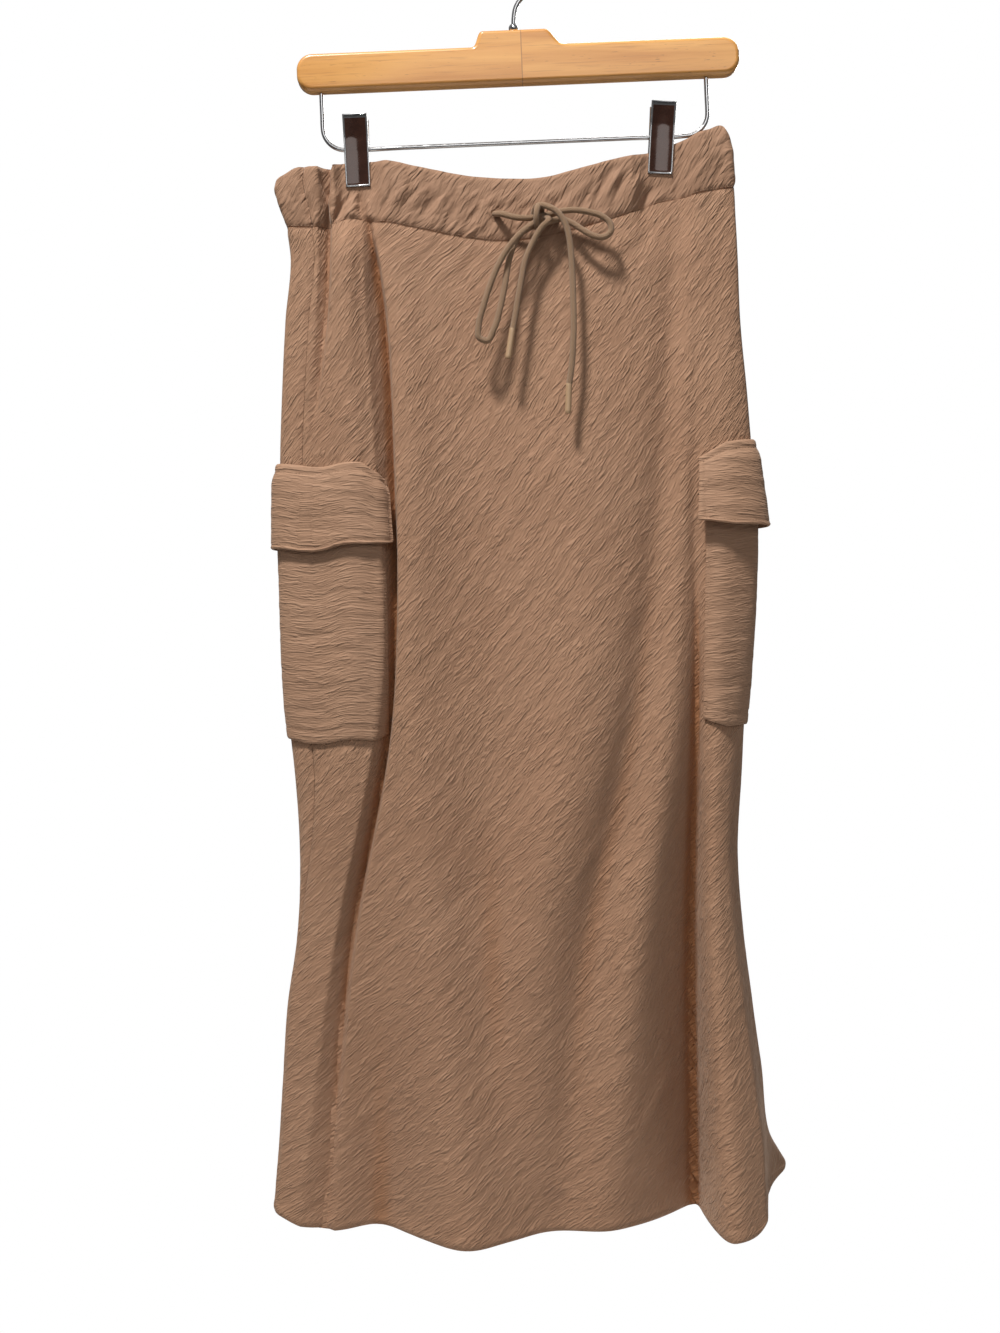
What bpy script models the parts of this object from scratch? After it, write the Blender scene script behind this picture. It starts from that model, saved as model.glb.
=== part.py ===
"""Cargo utility skirt, hung by its waistband from a wooden clip hanger.

The skirt is a tube of cloth. One function, section(), gives its outline at any level as a flattened
ring bent by two short tables of folds. The panels, the waist casing, the pockets and their flaps are
all sheets laid on that ring and then given a wall. The origin is the inner top of the hanger's hook:
+X is to the right of someone facing the skirt, -Y is its front and +Z is up.
"""

import math
from collections import namedtuple
from functools import lru_cache

import bmesh
import bpy
import numpy as np
from mathutils import Matrix, Vector

MM = 0.001
GAP = 0.3  # between pieces that touch

# ---------------------------------------------------------------- sizes of the cloth, in millimetres
CLOTH_WALL = 1.6
CASING_WALL = 2.6  # cloth folded double
FLAP_WALL = 2.0
CASING_HEIGHT = 40.0
HEM_LEVEL = -1027.0
SEAM_SETBACK_LEFT = 27.0  # the left side seam lies this far round the front from the left edge
SEAM_DRIFT_LEFT = 21.0  # and comes this much nearer to the edge below the pocket
SEAM_SETBACK_RIGHT = 19.0  # and the right one this far round the back from the right edge
SEAM_SETBACK_FLARE = 18.0  # the flare pulls it this much further round at the hem
BEND_LENGTH = 8.0  # a bend of one radian counts as this much more cloth when columns are spaced

# Heights of the waistband's top edge, of its stitch line and of the hem, across the skirt.
TOP_EDGE_X = (-190, -177, -154, -138, -117, -77, -38, -5, 20, 51, 77, 108, 128, 154, 167, 177)
TOP_EDGE_Z = (-185, -178.5, -177, -173, -171.5, -177, -184, -186.5, -186, -179, -172, -164, -157, -147,
              -144.5, -158)
STITCH_LINE_X = (-186, -151, -134, -106, -80, -48, -10, 36, 73, 97, 114, 134, 155, 176)
STITCH_LINE_Z = (-226, -226, -220, -223.5, -227.5, -233.5, -238, -232, -222, -213.5, -206, -202, -197.5,
                 -194)
HEM_X = (-195, -165, -112, -47, 30, 145, 180, 200, 212)
HEM_Z = (-1014, -1025, -1025, -1030, -1027, -1024, -1028, -1020, -998)

# The skirt's left and right edges at each height.
EDGE_Z = (-146, -160, -178, -195, -215, -242, -300, -363, -420, -470, -524, -580, -625, -660, -725,
          -790, -846, -910, -967, -1027)
LEFT_EDGE = (-184, -186, -189, -191, -185, -180.5, -184.5, -187.5, -189, -188, -185.5, -183.5, -181, -177,
             -173, -175, -182.5, -186.5, -190, -195)
RIGHT_EDGE = (163, 171, 174.5, 176, 177, 178.5, 181, 187, 191, 192, 190, 187, 184.5, 183, 180,
              185, 193, 202, 209, 212)

# The folds. Each runs down the cloth through five levels; at each it has a place across the skirt, a
# half width and a depth, which is positive for a ridge and negative for a valley. A lean moves the
# bottom of a valley, or the top of a ridge, to one side, so that its wall there is steep.
FOLD_LEVELS = (-210, -403, -604, -806, -1027)
Fold = namedtuple("Fold", "name x half_width depth lean")
FRONT_FOLDS = (
    Fold("crease in front of the left seam", (-151, -161, -166, -170, -170), (8, 9, 11, 12, 12),
         (-8, -2, 0, 0, 0), (0, 0, 0, 0, 0)),
    Fold("pleat under the left clip", (-133, -127, -128, -158, -170), (15, 18, 16, 18, 20),
         (5, 6, 5, 3, 3), (2, 3, 0, 0, 0)),
    Fold("pocket valley", (-119, -99, -101, -137, -109), (5, 7, 7, 12, 22),
         (-11, -19, -18, -16, -20), (-3, -3, 3, 0, 0)),
    Fold("main ridge", (-100, -82, -78, -66, -38), (18, 18, 20, 28, 36),
         (2, 5, 7, 12, 32), (0, 0, -3, 0, 0)),
    Fold("hollow of the front", (-40, -36, -24, -14, 18), (24, 28, 28, 24, 16),
         (-1, -3, -5, -6, -3), (0, 0, 0, 0, 0)),
    Fold("broad ridge", (62, 58, 56, 14, 6), (34, 38, 36, 26, 24),
         (3, 7, 9, 8, 4), (0, 0, 0, 0, 0)),
    Fold("slanting valley", (130, 121, 101, 60, 39), (12, 15, 17, 17, 18),
         (-6, -8, -11, -13, -13), (0, 0, 0, 0, 0)),
    Fold("slanting ridge", (142, 139, 128, 95, 74), (12, 12, 13, 18, 20),
         (1, 3, 7, 11, 10), (0, 0, 0, 0, 0)),
    Fold("valley beside the side strip", (148, 142, 141, 134, 135), (8, 7, 6, 10, 14),
         (0, -4, -16, -34, -52), (0, 0, 2, 6, 10)),
    Fold("side strip", (170, 170, 165, 168, 180), (12, 14, 14, 19, 27),
         (0, 3, 8, 16, 34), (0, 0, -2, -4, -4)),
)
BACK_FOLDS = (
    Fold("back ridge by the left seam", (-150, -150, -148, -152, -156), (16, 18, 20, 20, 22),
         (1, 3, 6, 9, 14), (0, 0, 0, 0, 0)),
    Fold("back left valley", (-104, -108, -112, -114, -116), (12, 14, 15, 18, 20),
         (-3, -7, -12, -16, -22), (0, 0, 2, 3, 4)),
    Fold("back left ridge", (-64, -58, -56, -50, -54), (20, 26, 28, 30, 32),
         (2, 5, 9, 14, 22), (0, 0, 0, -3, -5)),
    Fold("back middle valley", (0, 3, 8, 12, 18), (16, 18, 20, 22, 22),
         (-2, -6, -10, -16, -25), (0, 0, 0, 2, 4)),
    Fold("back right ridge", (50, 56, 64, 72, 80), (20, 24, 24, 26, 28),
         (2, 5, 8, 13, 19), (0, 0, 0, 0, 0)),
    Fold("back right valley", (102, 104, 110, 117, 122), (12, 14, 14, 15, 16),
         (-3, -6, -9, -12, -14), (0, 0, 0, 3, 4)),
    Fold("back ridge by the right seam", (144, 146, 150, 158, 168), (14, 16, 18, 20, 24),
         (1, 3, 6, 12, 24), (0, 0, 0, 0, 0)),
)
# How far the front and the back stand off the middle of the flattened ring, and how square its ends are.
FRONT_DEPTH = (9, 20, 27, 27, 17)
BACK_DEPTH = (9, 21, 30, 40, 54)
END_SQUARENESS = (8, 3.4, 2.9, 2.8, 3.6)

# Towards the hem the right edge swings to the back and flares out.
FLARE_LEVELS = (-210, -604, -800, -900, -965, -998, -1027)
FLARE_SIDEWAYS = (0, 0, 0, 0, 2, 18, 22)
FLARE_BACK = (0, 2, 9, 24, 44, 63, 76)
FLARE_SHARPNESS = 3  # its corner is drawn out into a point
FLARE_REACH_FRONT = 13.0  # measured in from the right edge
FLARE_REACH_BACK = 42.0
FLARE_THINNING = 0.75  # how much of the back's own depth the flare takes up at the hem

# ---------------------------------------------------------------- sizes of the pockets
POCKET_HALF_WIDTH = 68.5
FLAP_HALF_WIDTH = 71.5
POUCH_EDGE_LIFT = 1.2
POUCH_FULLNESS = 1.8
FLAP_EDGE_LIFT = 0.8
FLAP_OVER_POUCH = 3.6
FLAP_SWING_LEFT = 2.0
FLAP_SWING_RIGHT = 6.5
# Shares of the way from the stitch line to the hem.
POCKET_SHARE_X = (-80, 0, 50, 80)
FLAP_TOP_SHARE = (0.239, 0.239, 0.244, 0.262)
FLAP_BOTTOM_SHARE = (0.325, 0.325, 0.324, 0.316)
POUCH_BELOW_FLAP = 0.02
POUCH_BOTTOM_SHARE = (0.513, 0.515, 0.515, 0.504)

# ---------------------------------------------------------------- sizes of the hanger
TILT = math.radians(2.4)  # the hanger hangs with its right end high
BAR_LENGTH = 355.6
BAR_HEIGHT = 30.0
BAR_THICKNESS = 14.0
BAR_SHIFT = 1.2  # the bar's middle lies this far right of the hook's loop
BAR_EDGE = 3.5
BOSS_WIDTH = 47.0
BOSS_RISE = 12.6
BOSS_SHOULDER = 15.0
BOSS_LEAN = -2.5  # the boss's top lies this far left of the bar's middle
BAR_TOP = -66.0
HOOK_WIRE = 3.6
HOOK_RADIUS = 20.0
FERRULE_RADIUS = 3.2
FERRULE_HEIGHT = 5.0
BOW_WIRE = 3.4
BOW_WIDTH = 310.0
BOW_CORNER = 18.0
BOW_DROP = 46.5
BOW_SHIFT = -3.0  # from the bar's middle
CLIP_WIDTH = 20.0
CLIP_LENGTH = 57.0
CLIP_PLATE = 1.2
CLIP_BITE = 31.0  # from the wire down to the clip's mouth
CLIP_CENTRES = (-127.4, 118.0)
CLIP_TURNS = (math.radians(2.6), math.radians(-3.0))

# ---------------------------------------------------------------- sizes of the drawcord
CORD = 4.8
AGLET_RADIUS = 2.4
CORD_STEP = 9.0
KNOT_CENTRE = (22.8, -19.3, -220.4)
KNOT_HALF_SIZE = (10.6, 8.4, 9.2)
CORD_ROUTES = {
    "drawcord_left_run": ((-16.8, -11.3, -215.2), (-10.5, -17.3, -217.6), (-3.4, -19.5, -220.3),
                          (3.7, -20.6, -221.9), (11.9, -20.6, -221.6)),
    "drawcord_right_loop": ((33.6, -20.4, -217.2), (45.5, -24.5, -216.6), (57.3, -26, -218.4),
                            (67.5, -27, -221.8), (74.4, -27.5, -227.6), (75.2, -28, -234.6),
                            (69.6, -28, -238.9), (62.3, -27.5, -238.0), (53.6, -26, -232.8),
                            (44.8, -24, -227.3), (32.9, -21.5, -223.6)),
    "drawcord_right_tail": ((28.7, -24.0, -227.6), (39.2, -27.6, -240.6), (43.8, -30, -254.5),
                            (45.2, -33, -283.6), (45.5, -35.5, -314.7), (43.4, -37, -346.4),
                            (41.8, -37.5, -357.1)),
    "drawcord_left_loop": ((15.1, -24.4, -225.5), (2.8, -29, -237.4), (-5.8, -30.5, -248.2),
                           (-13.3, -31.5, -261.4), (-19.8, -32.5, -277.4), (-25.2, -33.5, -294.9),
                           (-28.8, -34, -309.5), (-28.2, -34.3, -319.6), (-22.6, -34, -321.9),
                           (-17.0, -33, -312.6), (-12.1, -31, -295.9), (-8.2, -28.5, -276.4),
                           (-5.4, -25.6, -258.4), (-1.4, -22.6, -244.4), (3.7, -20.8, -233.9),
                           (14.8, -16.4, -228.6)),
    "drawcord_left_tail": ((20.6, -23.6, -229.5), (13.0, -26.4, -243.5), (8.8, -27.9, -254.1),
                           (4.0, -30, -276.8), (-0.3, -32, -302.4), (-2.3, -33, -313.2)),
}
AGLETS = {
    "aglet_right": ((41.8, -37.5, -357.5), (41.0, -38.2, -379.5)),
    "aglet_left": ((-2.4, -33, -313.6), (-5.8, -34.5, -335.9)),
}

# ---------------------------------------------------------------- the cloth's surface


def through(levels, values, at):
    """A smooth curve through a table's values, read at the places `at`."""
    levels = np.asarray(levels, float)
    values = np.asarray(values, float)
    if levels[0] > levels[-1]:
        levels, values = levels[::-1], values[::-1]
    at = np.clip(at, levels[0], levels[-1])
    slopes = np.gradient(values, levels)
    i = np.clip(np.searchsorted(levels, at) - 1, 0, len(levels) - 2)
    step = levels[i + 1] - levels[i]
    f = (at - levels[i]) / step
    start = values[i] * (1 + 2 * f) * (1 - f) ** 2 + slopes[i] * step * f * (1 - f) ** 2
    end = values[i + 1] * f * f * (3 - 2 * f) + slopes[i + 1] * step * f * f * (f - 1)
    return start + end


def smooth(low, high, value):
    """0 below low, 1 above high, and an even S between them."""
    f = np.clip((value - low) / (high - low), 0, 1)
    return f * f * (3 - 2 * f)


def height(share, x):
    """Level of the cloth: share -1 is the waist's top edge, 0 the stitch line and 1 the hem."""
    stitch = through(STITCH_LINE_X, STITCH_LINE_Z, x)
    top = through(TOP_EDGE_X, TOP_EDGE_Z, x)
    hem = through(HEM_X, HEM_Z, x)
    return np.where(share < 0, stitch + (stitch - top) * share, stitch + (hem - stitch) * share)


def fold_shift(folds, x, z):
    """How far the folds move the cloth outwards and sideways."""
    outwards = np.zeros_like(x)
    sideways = np.zeros_like(x)
    for fold in folds:
        centre = through(FOLD_LEVELS, fold.x, z)
        half_width = through(FOLD_LEVELS, fold.half_width, z)
        bump = np.exp(-(((x - centre) / half_width) ** 2))
        outwards += through(FOLD_LEVELS, fold.depth, z) * bump
        sideways += through(FOLD_LEVELS, fold.lean, z) * bump
    return outwards, sideways


def clip_pinch(x, z):
    """1 where a clip presses the waist flat, falling to 0 around it."""
    pinch = np.zeros_like(x)
    for centre in CLIP_CENTRES:
        beside = 1 - smooth(13, 36, np.abs(x - centre))
        below = 1 - smooth(6, 90, -194 - z)
        pinch = np.maximum(pinch, beside * below)
    return pinch


def gathers(around, share):
    """Small waves of the casing along the ring: strong at the ends of the front and along the back."""
    wave = np.sin(around / 3.1 + 1.7 * np.sin(around / 23.0)) + 0.5 * np.sin(around / 5.3 + 1.0)
    strength = 0.35 + 1.0 * (1 - smooth(30, 75, around)) + 0.9 * smooth(300, 350, around)
    envelope = 0.45 * np.sin(np.pi * np.clip(-share, 0, 1)) ** 0.5 + 0.55 * smooth(0.5, 1.0, -share)
    return wave * np.clip(strength, 0, 1.25) * np.where(share < 0, envelope, 0)


@lru_cache(maxsize=None)
def section(share, count=900):
    """The ring of cloth at one share of the way down.

    It starts at the left edge, runs along the front to the right edge and comes back along the back.
    It returns the ring's points, the distance round it, its outward side, and the same distance with
    bends counted longer, by which the columns of a sheet are spaced.
    """
    turn = np.linspace(0, 2 * math.pi, count + 1)
    across = (1 - np.cos(turn)) / 2
    rough_z = height(share, -190 + 370 * across)
    left = through(EDGE_Z, LEFT_EDGE, rough_z[0])
    right = through(EDGE_Z, RIGHT_EDGE, rough_z[count // 2])
    x = left + (right - left) * across
    z = height(share, x)
    is_front = turn <= math.pi
    side = np.where(is_front, -1.0, 1.0)
    squareness = through(FOLD_LEVELS, END_SQUARENESS, z)
    fullness = np.clip(1 - np.abs(2 * across - 1) ** squareness, 0, 1) ** (1 / squareness)
    depth = np.where(is_front, through(FOLD_LEVELS, FRONT_DEPTH, z), through(FOLD_LEVELS, BACK_DEPTH, z))
    front_out, front_aside = fold_shift(FRONT_FOLDS, x, z)
    back_out, back_aside = fold_shift(BACK_FOLDS, x, z)
    out = depth + np.where(is_front, front_out, back_out)
    pinch = clip_pinch(x, z)
    pinched = CASING_WALL + GAP
    out = out * (1 - pinch) + pinched * pinch
    y = side * out * fullness
    x = x + np.where(is_front, front_aside, back_aside) * fullness * (1 - pinch)
    reach = np.where(is_front, FLARE_REACH_FRONT, FLARE_REACH_BACK)
    flare = smooth(right - reach, right, x)
    swing = through(FLARE_LEVELS, FLARE_BACK, z)
    thinning = FLARE_THINNING * swing / FLARE_BACK[-1]
    x = x + through(FLARE_LEVELS, FLARE_SIDEWAYS, z) * flare**FLARE_SHARPNESS
    y = y * np.where(is_front, 1, 1 - thinning * flare) + swing * flare
    points = np.stack([x, y, z], axis=1)
    along = np.concatenate([[0], np.cumsum(np.hypot(np.diff(x), np.diff(y)))])
    dx, dy = np.gradient(x), np.gradient(y)
    length = np.hypot(dx, dy)
    outside = np.stack([dy / length, -dx / length], axis=1)
    waves = gathers(along / along[-1] * 800.0, share) * (1 - pinch)
    points[:, :2] += outside * waves[:, None]
    heading = np.unwrap(np.arctan2(dy, dx))
    bending = np.concatenate([[0], np.cumsum(np.abs(np.diff(heading)))])
    return points, along, outside, along + BEND_LENGTH * bending


def seam_places(share):
    """Distances round the ring of the left and right side seams, and the whole way round."""
    along = section(share)[1]
    right_edge = along[(len(along) - 1) // 2]
    right = right_edge + SEAM_SETBACK_RIGHT + SEAM_SETBACK_FLARE * float(smooth(0.7, 1.0, share))
    return SEAM_SETBACK_LEFT - SEAM_DRIFT_LEFT * float(smooth(0.52, 0.75, share)), right, along[-1]


def column_way(share, start, end, u):
    """Distance round the ring at a share u of the way between two others, closer together in bends."""
    _, along, _, spaced = section(share)
    whole = along[-1]
    lengths = np.concatenate([along, along[1:] + whole])
    spaces = np.concatenate([spaced, spaced[1:] + spaced[-1]])
    first, last = np.interp((start, end), lengths, spaces)
    return np.interp(first + u * (last - first), spaces, lengths)


def on_cloth(share, way, lift=0.0):
    """The point of the cloth at a distance round the ring, moved out by lift, in metres."""
    points, along, outside, _ = section(share)
    way = way % along[-1]
    point = [np.interp(way, along, points[:, i]) for i in range(3)]
    out = np.array([np.interp(way, along, outside[:, i]) for i in range(2)])
    out /= np.hypot(*out)
    return Vector((point[0] + out[0] * lift, point[1] + out[1] * lift, point[2])) * MM


# ---------------------------------------------------------------- making objects


def material(name, colour, roughness, metallic=0.0):
    made = bpy.data.materials.new(name)
    made.use_nodes = True
    shader = made.node_tree.nodes["Principled BSDF"]
    shader.inputs["Base Color"].default_value = (*colour, 1.0)
    shader.inputs["Roughness"].default_value = roughness
    shader.inputs["Metallic"].default_value = metallic
    return made


def add(name, data, finish):
    piece = bpy.data.objects.new(name, data)
    data.materials.append(finish)
    skirt_parts.objects.link(piece)
    return piece


def sheet(name, columns, rows, place, thickness, finish):
    """A closed wall between two grids, laid out by place(column share, row share, lift)."""
    body = bmesh.new()
    sides = []
    for lift in (0.0, -thickness):
        grid = bmesh.ops.create_grid(body, x_segments=columns, y_segments=rows, size=0.5)["verts"]
        for corner in grid:
            corner.co = place(corner.co.x + 0.5, 0.5 - corner.co.y, lift)
        sides.append(grid)
    inner = dict(zip(*sides))
    rim = [edge.verts for edge in body.edges if edge.is_boundary and edge.verts[0] in inner]
    for a, b in rim:
        body.faces.new((a, b, inner[b], inner[a]))
    bmesh.ops.recalc_face_normals(body, faces=body.faces)
    data = bpy.data.meshes.new(name)
    body.to_mesh(data)
    body.free()
    data.shade_smooth()
    return add(name, data, finish)


def rod(name, route, radius, finish, sides=2):
    """A round wire or cord along a list of points in millimetres."""
    curve = bpy.data.curves.new(name, "CURVE")
    curve.dimensions = "3D"
    curve.bevel_depth = radius * MM
    curve.bevel_resolution = sides
    curve.use_fill_caps = True
    line = curve.splines.new("POLY")
    line.points.add(len(route) - 1)
    for point, place in zip(line.points, route):
        point.co = (*(Vector(place) * MM), 1.0)
    return add(name, curve, finish)


def eased_route(route, step):
    """Points a step apart on the smooth curve through a route."""
    route = np.array(route, float)
    ways = np.concatenate([[0], np.cumsum(np.linalg.norm(np.diff(route, axis=0), axis=1))])
    count = max(3, round(ways[-1] / step) + 1)
    at = np.linspace(0, ways[-1], count)
    return np.stack([through(ways, route[:, i], at) for i in range(3)], axis=1)


# ---------------------------------------------------------------- the cloth's pieces


def side_to_side(share, u, is_front):
    """Distance round the ring at a share u of the way across the front or the back."""
    left, right, whole = seam_places(share)
    start, end = (left, right) if is_front else (right, whole + left)
    return column_way(share, start + GAP, end, u)


def panel(name, columns, rows, is_front):
    def place(u, v, lift):
        share = v + (1 - v) * GAP / (STITCH_LINE_Z[0] - HEM_LEVEL)
        return on_cloth(share, side_to_side(share, u, is_front), lift)

    return sheet(name, columns, rows, place, CLOTH_WALL, cloth)


def casing(name, columns, rows, is_front):
    def place(u, v, lift):
        share = -1 + v * (1 - GAP / CASING_HEIGHT)
        return on_cloth(share, side_to_side(share, u, is_front), lift)

    return sheet(name, columns, rows, place, CASING_WALL, cloth)


def pocket_way(share, is_left, across):
    """Distance round the ring of a point across a pocket; positive is towards the front's middle."""
    left, right, _ = seam_places(share)
    return left + across if is_left else right - across


def pouch(name, is_left):
    def place(u, v, lift):
        across = POCKET_HALF_WIDTH * ((2 * u - 1) if is_left else (1 - 2 * u))
        bottom = np.interp(across, POCKET_SHARE_X, POUCH_BOTTOM_SHARE)
        top = np.interp(across, POCKET_SHARE_X, FLAP_TOP_SHARE) + POUCH_BELOW_FLAP
        share = top + (bottom - top) * v
        full = (4 * u * (1 - u)) ** 0.6 * (1 - v**6) * (0.3 + 0.7 * float(smooth(0.1, 0.6, v)))
        off = POUCH_EDGE_LIFT + CLOTH_WALL + POUCH_FULLNESS * full
        return on_cloth(share, pocket_way(share, is_left, across), off + lift)

    return sheet(name, 20, 6, place, CLOTH_WALL, cloth)


def flap(name, is_left):
    swing = FLAP_SWING_LEFT if is_left else FLAP_SWING_RIGHT

    def place(u, v, lift):
        across = FLAP_HALF_WIDTH * ((2 * u - 1) if is_left else (1 - 2 * u))
        top = np.interp(across, POCKET_SHARE_X, FLAP_TOP_SHARE)
        bottom = np.interp(across, POCKET_SHARE_X, FLAP_BOTTOM_SHARE)
        share = top + (bottom - top) * v
        off = FLAP_EDGE_LIFT + FLAP_WALL + FLAP_OVER_POUCH * smooth(0.0, 0.25, v) + swing * v**1.6
        return on_cloth(share, pocket_way(share, is_left, across), off + lift)

    return sheet(name, 22, 5, place, FLAP_WALL, cloth)


# ---------------------------------------------------------------- the hanger


def arc(centre, radius, start, end, count):
    """Points along an arc in the XZ plane, angles in degrees."""
    angles = np.radians(np.linspace(start, end, count))
    return [(centre[0] + radius * math.cos(a), centre[1] + radius * math.sin(a)) for a in angles]


def tilted(point):
    """A place in the hanger's own upright frame, turned with the hanger about the bar's top centre."""
    x, y, z = point
    turn = Matrix.Rotation(-TILT, 3, "Y")
    return turn @ Vector((x, y, z - BAR_TOP)) + Vector((0, 0, BAR_TOP))


def hanger_bar():
    """A flat bar with round ends and a raised boss in its middle, its edges rounded."""
    arm_top = BAR_TOP - BOSS_RISE
    bottom = arm_top - BAR_HEIGHT
    end = BAR_LENGTH / 2
    corner = BAR_HEIGHT * 0.42
    shoulder = [
        (BOSS_WIDTH / 2 + BOSS_SHOULDER * f, BAR_TOP - BOSS_RISE * float(smooth(0, 1, smooth(0, 1, f))))
        for f in np.linspace(0, 1, 9)
    ]
    upper_end = arc((end - corner, arm_top - corner), corner, 90, 0, 6)
    lower_end = arc((end - corner, bottom + corner), corner, 0, -90, 6)
    half = shoulder + upper_end + lower_end
    outline = half + [(-x, z) for x, z in reversed(half)]
    outline = [(x + BOSS_LEAN * max(0, z - arm_top) / BOSS_RISE, z) for x, z in outline]
    curve = bpy.data.curves.new("hanger_bar", "CURVE")
    curve.dimensions = "2D"
    curve.fill_mode = "BOTH"
    curve.extrude = (BAR_THICKNESS / 2 - BAR_EDGE) * MM
    curve.bevel_depth = BAR_EDGE * MM
    curve.bevel_resolution = 1
    curve.offset = -BAR_EDGE * MM
    line = curve.splines.new("POLY")
    line.use_cyclic_u = True
    line.points.add(len(outline) - 1)
    for point, (x, z) in zip(line.points, outline):
        point.co = (x * MM, (z - BAR_TOP) * MM, 0, 1)
    bar = add("hanger_bar", curve, wood)
    bar.location = (BAR_SHIFT * MM, 0, BAR_TOP * MM)
    bar.rotation_euler = (Matrix.Rotation(-TILT, 3, "Y") @ Matrix.Rotation(math.pi / 2, 3, "X")).to_euler()
    weld = bar.modifiers.new("weld", "WELD")
    weld.merge_threshold = 0.00001
    return bar


def hook():
    """A wire hook: a straight shaft that sweeps right into an open loop over the origin."""
    centre = (0.0, HOOK_WIRE / 2 - HOOK_RADIUS)
    shaft = [(-1.2, BAR_TOP + GAP), (-1.2, -61.0), (-1.0, -54.0), (0.2, -47.0), (3.4, -41.0), (8.4, -36.2)]
    loop = arc(centre, HOOK_RADIUS, -48, 205, 22)
    route = [(x, 0, z) for x, z in shaft + loop]
    return rod("hook", route, HOOK_WIRE / 2, chrome)


def ferrule():
    """A turned collar round the hook's shaft, seated on the boss."""
    inner = HOOK_WIRE / 2 + GAP
    profile = [(FERRULE_RADIUS, FERRULE_HEIGHT), (FERRULE_RADIUS + 0.8, FERRULE_HEIGHT / 2),
               (FERRULE_RADIUS, 0), (inner, 0), (inner, FERRULE_HEIGHT)]
    data = bpy.data.meshes.new("hook_ferrule")
    corners = [(x * MM, 0, z * MM) for x, z in profile]
    edges = [(i, (i + 1) % len(profile)) for i in range(len(profile))]
    data.from_pydata(corners, edges, [])
    collar = add("hook_ferrule", data, chrome)
    collar.location = Vector((-1.2, 0, BAR_TOP + GAP)) * MM
    screw = collar.modifiers.new("turn", "SCREW")
    screw.steps = 24
    screw.render_steps = 24
    screw.use_merge_vertices = True
    screw.merge_threshold = 0.00001
    return collar


def wire_bow():
    """The wire that carries the clips: two short legs out of the bar and a straight run between them."""
    top = BAR_TOP - BOSS_RISE - BAR_HEIGHT - GAP
    bottom = top - BOW_DROP
    side = BOW_WIDTH / 2
    right = [(side, top), (side, top - 9), (side, top - 18)]
    right += arc((side - BOW_CORNER, bottom + BOW_CORNER), BOW_CORNER, 0, -90, 7)
    run = [(x, bottom) for x in (90, 45, 0, -45, -90)]
    outline = right + run + [(-x, z) for x, z in reversed(right)]
    route = [tilted((x + BOW_SHIFT, 0, z)) for x, z in outline]
    return rod("wire_bow", route, BOW_WIRE / 2, chrome)


def wire_height(x):
    """Level of the wire's straight run at x."""
    bottom = BAR_TOP - BOSS_RISE - BAR_HEIGHT - GAP - BOW_DROP
    return tilted((x, 0, bottom))[2]


def clip(side, centre, turn):
    """One clip: a front and a back plate that meet the cloth below, and a spring barrel on the wire."""
    barrel_outer = BOW_WIRE / 2 + GAP + 1.2
    mouth = CASING_WALL + 2 * GAP
    level = wire_height(centre)

    def plate(name, facing):
        def place(u, v, lift):
            across = (u - 0.5) * CLIP_WIDTH * facing
            down = CLIP_LENGTH * v - (CLIP_LENGTH - CLIP_BITE)
            stations = (-26, -8, 4, 12, CLIP_BITE)
            off = np.interp(down, stations, (7.5, 4.2, barrel_outer + GAP, mouth + 0.4, mouth))
            x = across * math.cos(turn) + down * math.sin(turn)
            z = across * math.sin(turn) - down * math.cos(turn)
            return Vector((centre + x, -facing * (off + CLIP_PLATE + lift), level + z)) * MM

        return sheet(name, 2, 8, place, CLIP_PLATE, chrome)

    plate(f"clip_{side}_front", 1)
    plate(f"clip_{side}_back", -1)
    inner = BOW_WIRE / 2 + GAP
    half = CLIP_WIDTH * 0.42
    profile = [(barrel_outer, half), (barrel_outer, -half), (inner, -half), (inner, half)]
    data = bpy.data.meshes.new(f"clip_{side}_barrel")
    data.from_pydata([(x * MM, 0, z * MM) for x, z in profile], [(0, 1), (1, 2), (2, 3), (3, 0)], [])
    barrel = add(f"clip_{side}_barrel", data, chrome)
    barrel.location = Vector((centre, 0, level)) * MM
    barrel.rotation_euler = (0, math.pi / 2 - TILT, 0)
    screw = barrel.modifiers.new("turn", "SCREW")
    screw.steps = 20
    screw.render_steps = 20
    screw.use_merge_vertices = True
    screw.merge_threshold = 0.00001


# ---------------------------------------------------------------- the drawcord


def knot():
    """The tied middle of the bow, a rounded lump."""
    ball = bmesh.new()
    bmesh.ops.create_uvsphere(ball, u_segments=16, v_segments=10, radius=MM)
    data = bpy.data.meshes.new("drawcord_knot")
    ball.to_mesh(data)
    ball.free()
    data.transform(Matrix.Diagonal((*KNOT_HALF_SIZE, 1)))
    data.shade_smooth()
    made = add("drawcord_knot", data, cord)
    made.location = Vector(KNOT_CENTRE) * MM
    return made


# ---------------------------------------------------------------- building it

for old in list(bpy.data.objects):
    bpy.data.objects.remove(old, do_unlink=True)
skirt_parts = bpy.data.collections.new("cargo_utility_skirt")
bpy.context.scene.collection.children.link(skirt_parts)

cloth = material("tan crinkle cloth", (0.36, 0.20, 0.125), 0.8)
cord = material("braided drawcord", (0.30, 0.19, 0.11), 0.75)
tip = material("cord tip", (0.42, 0.27, 0.16), 0.4)
wood = material("varnished wood", (0.72, 0.40, 0.15), 0.3)
chrome = material("chromed steel", (0.7, 0.7, 0.7), 0.15, 1.0)

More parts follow.
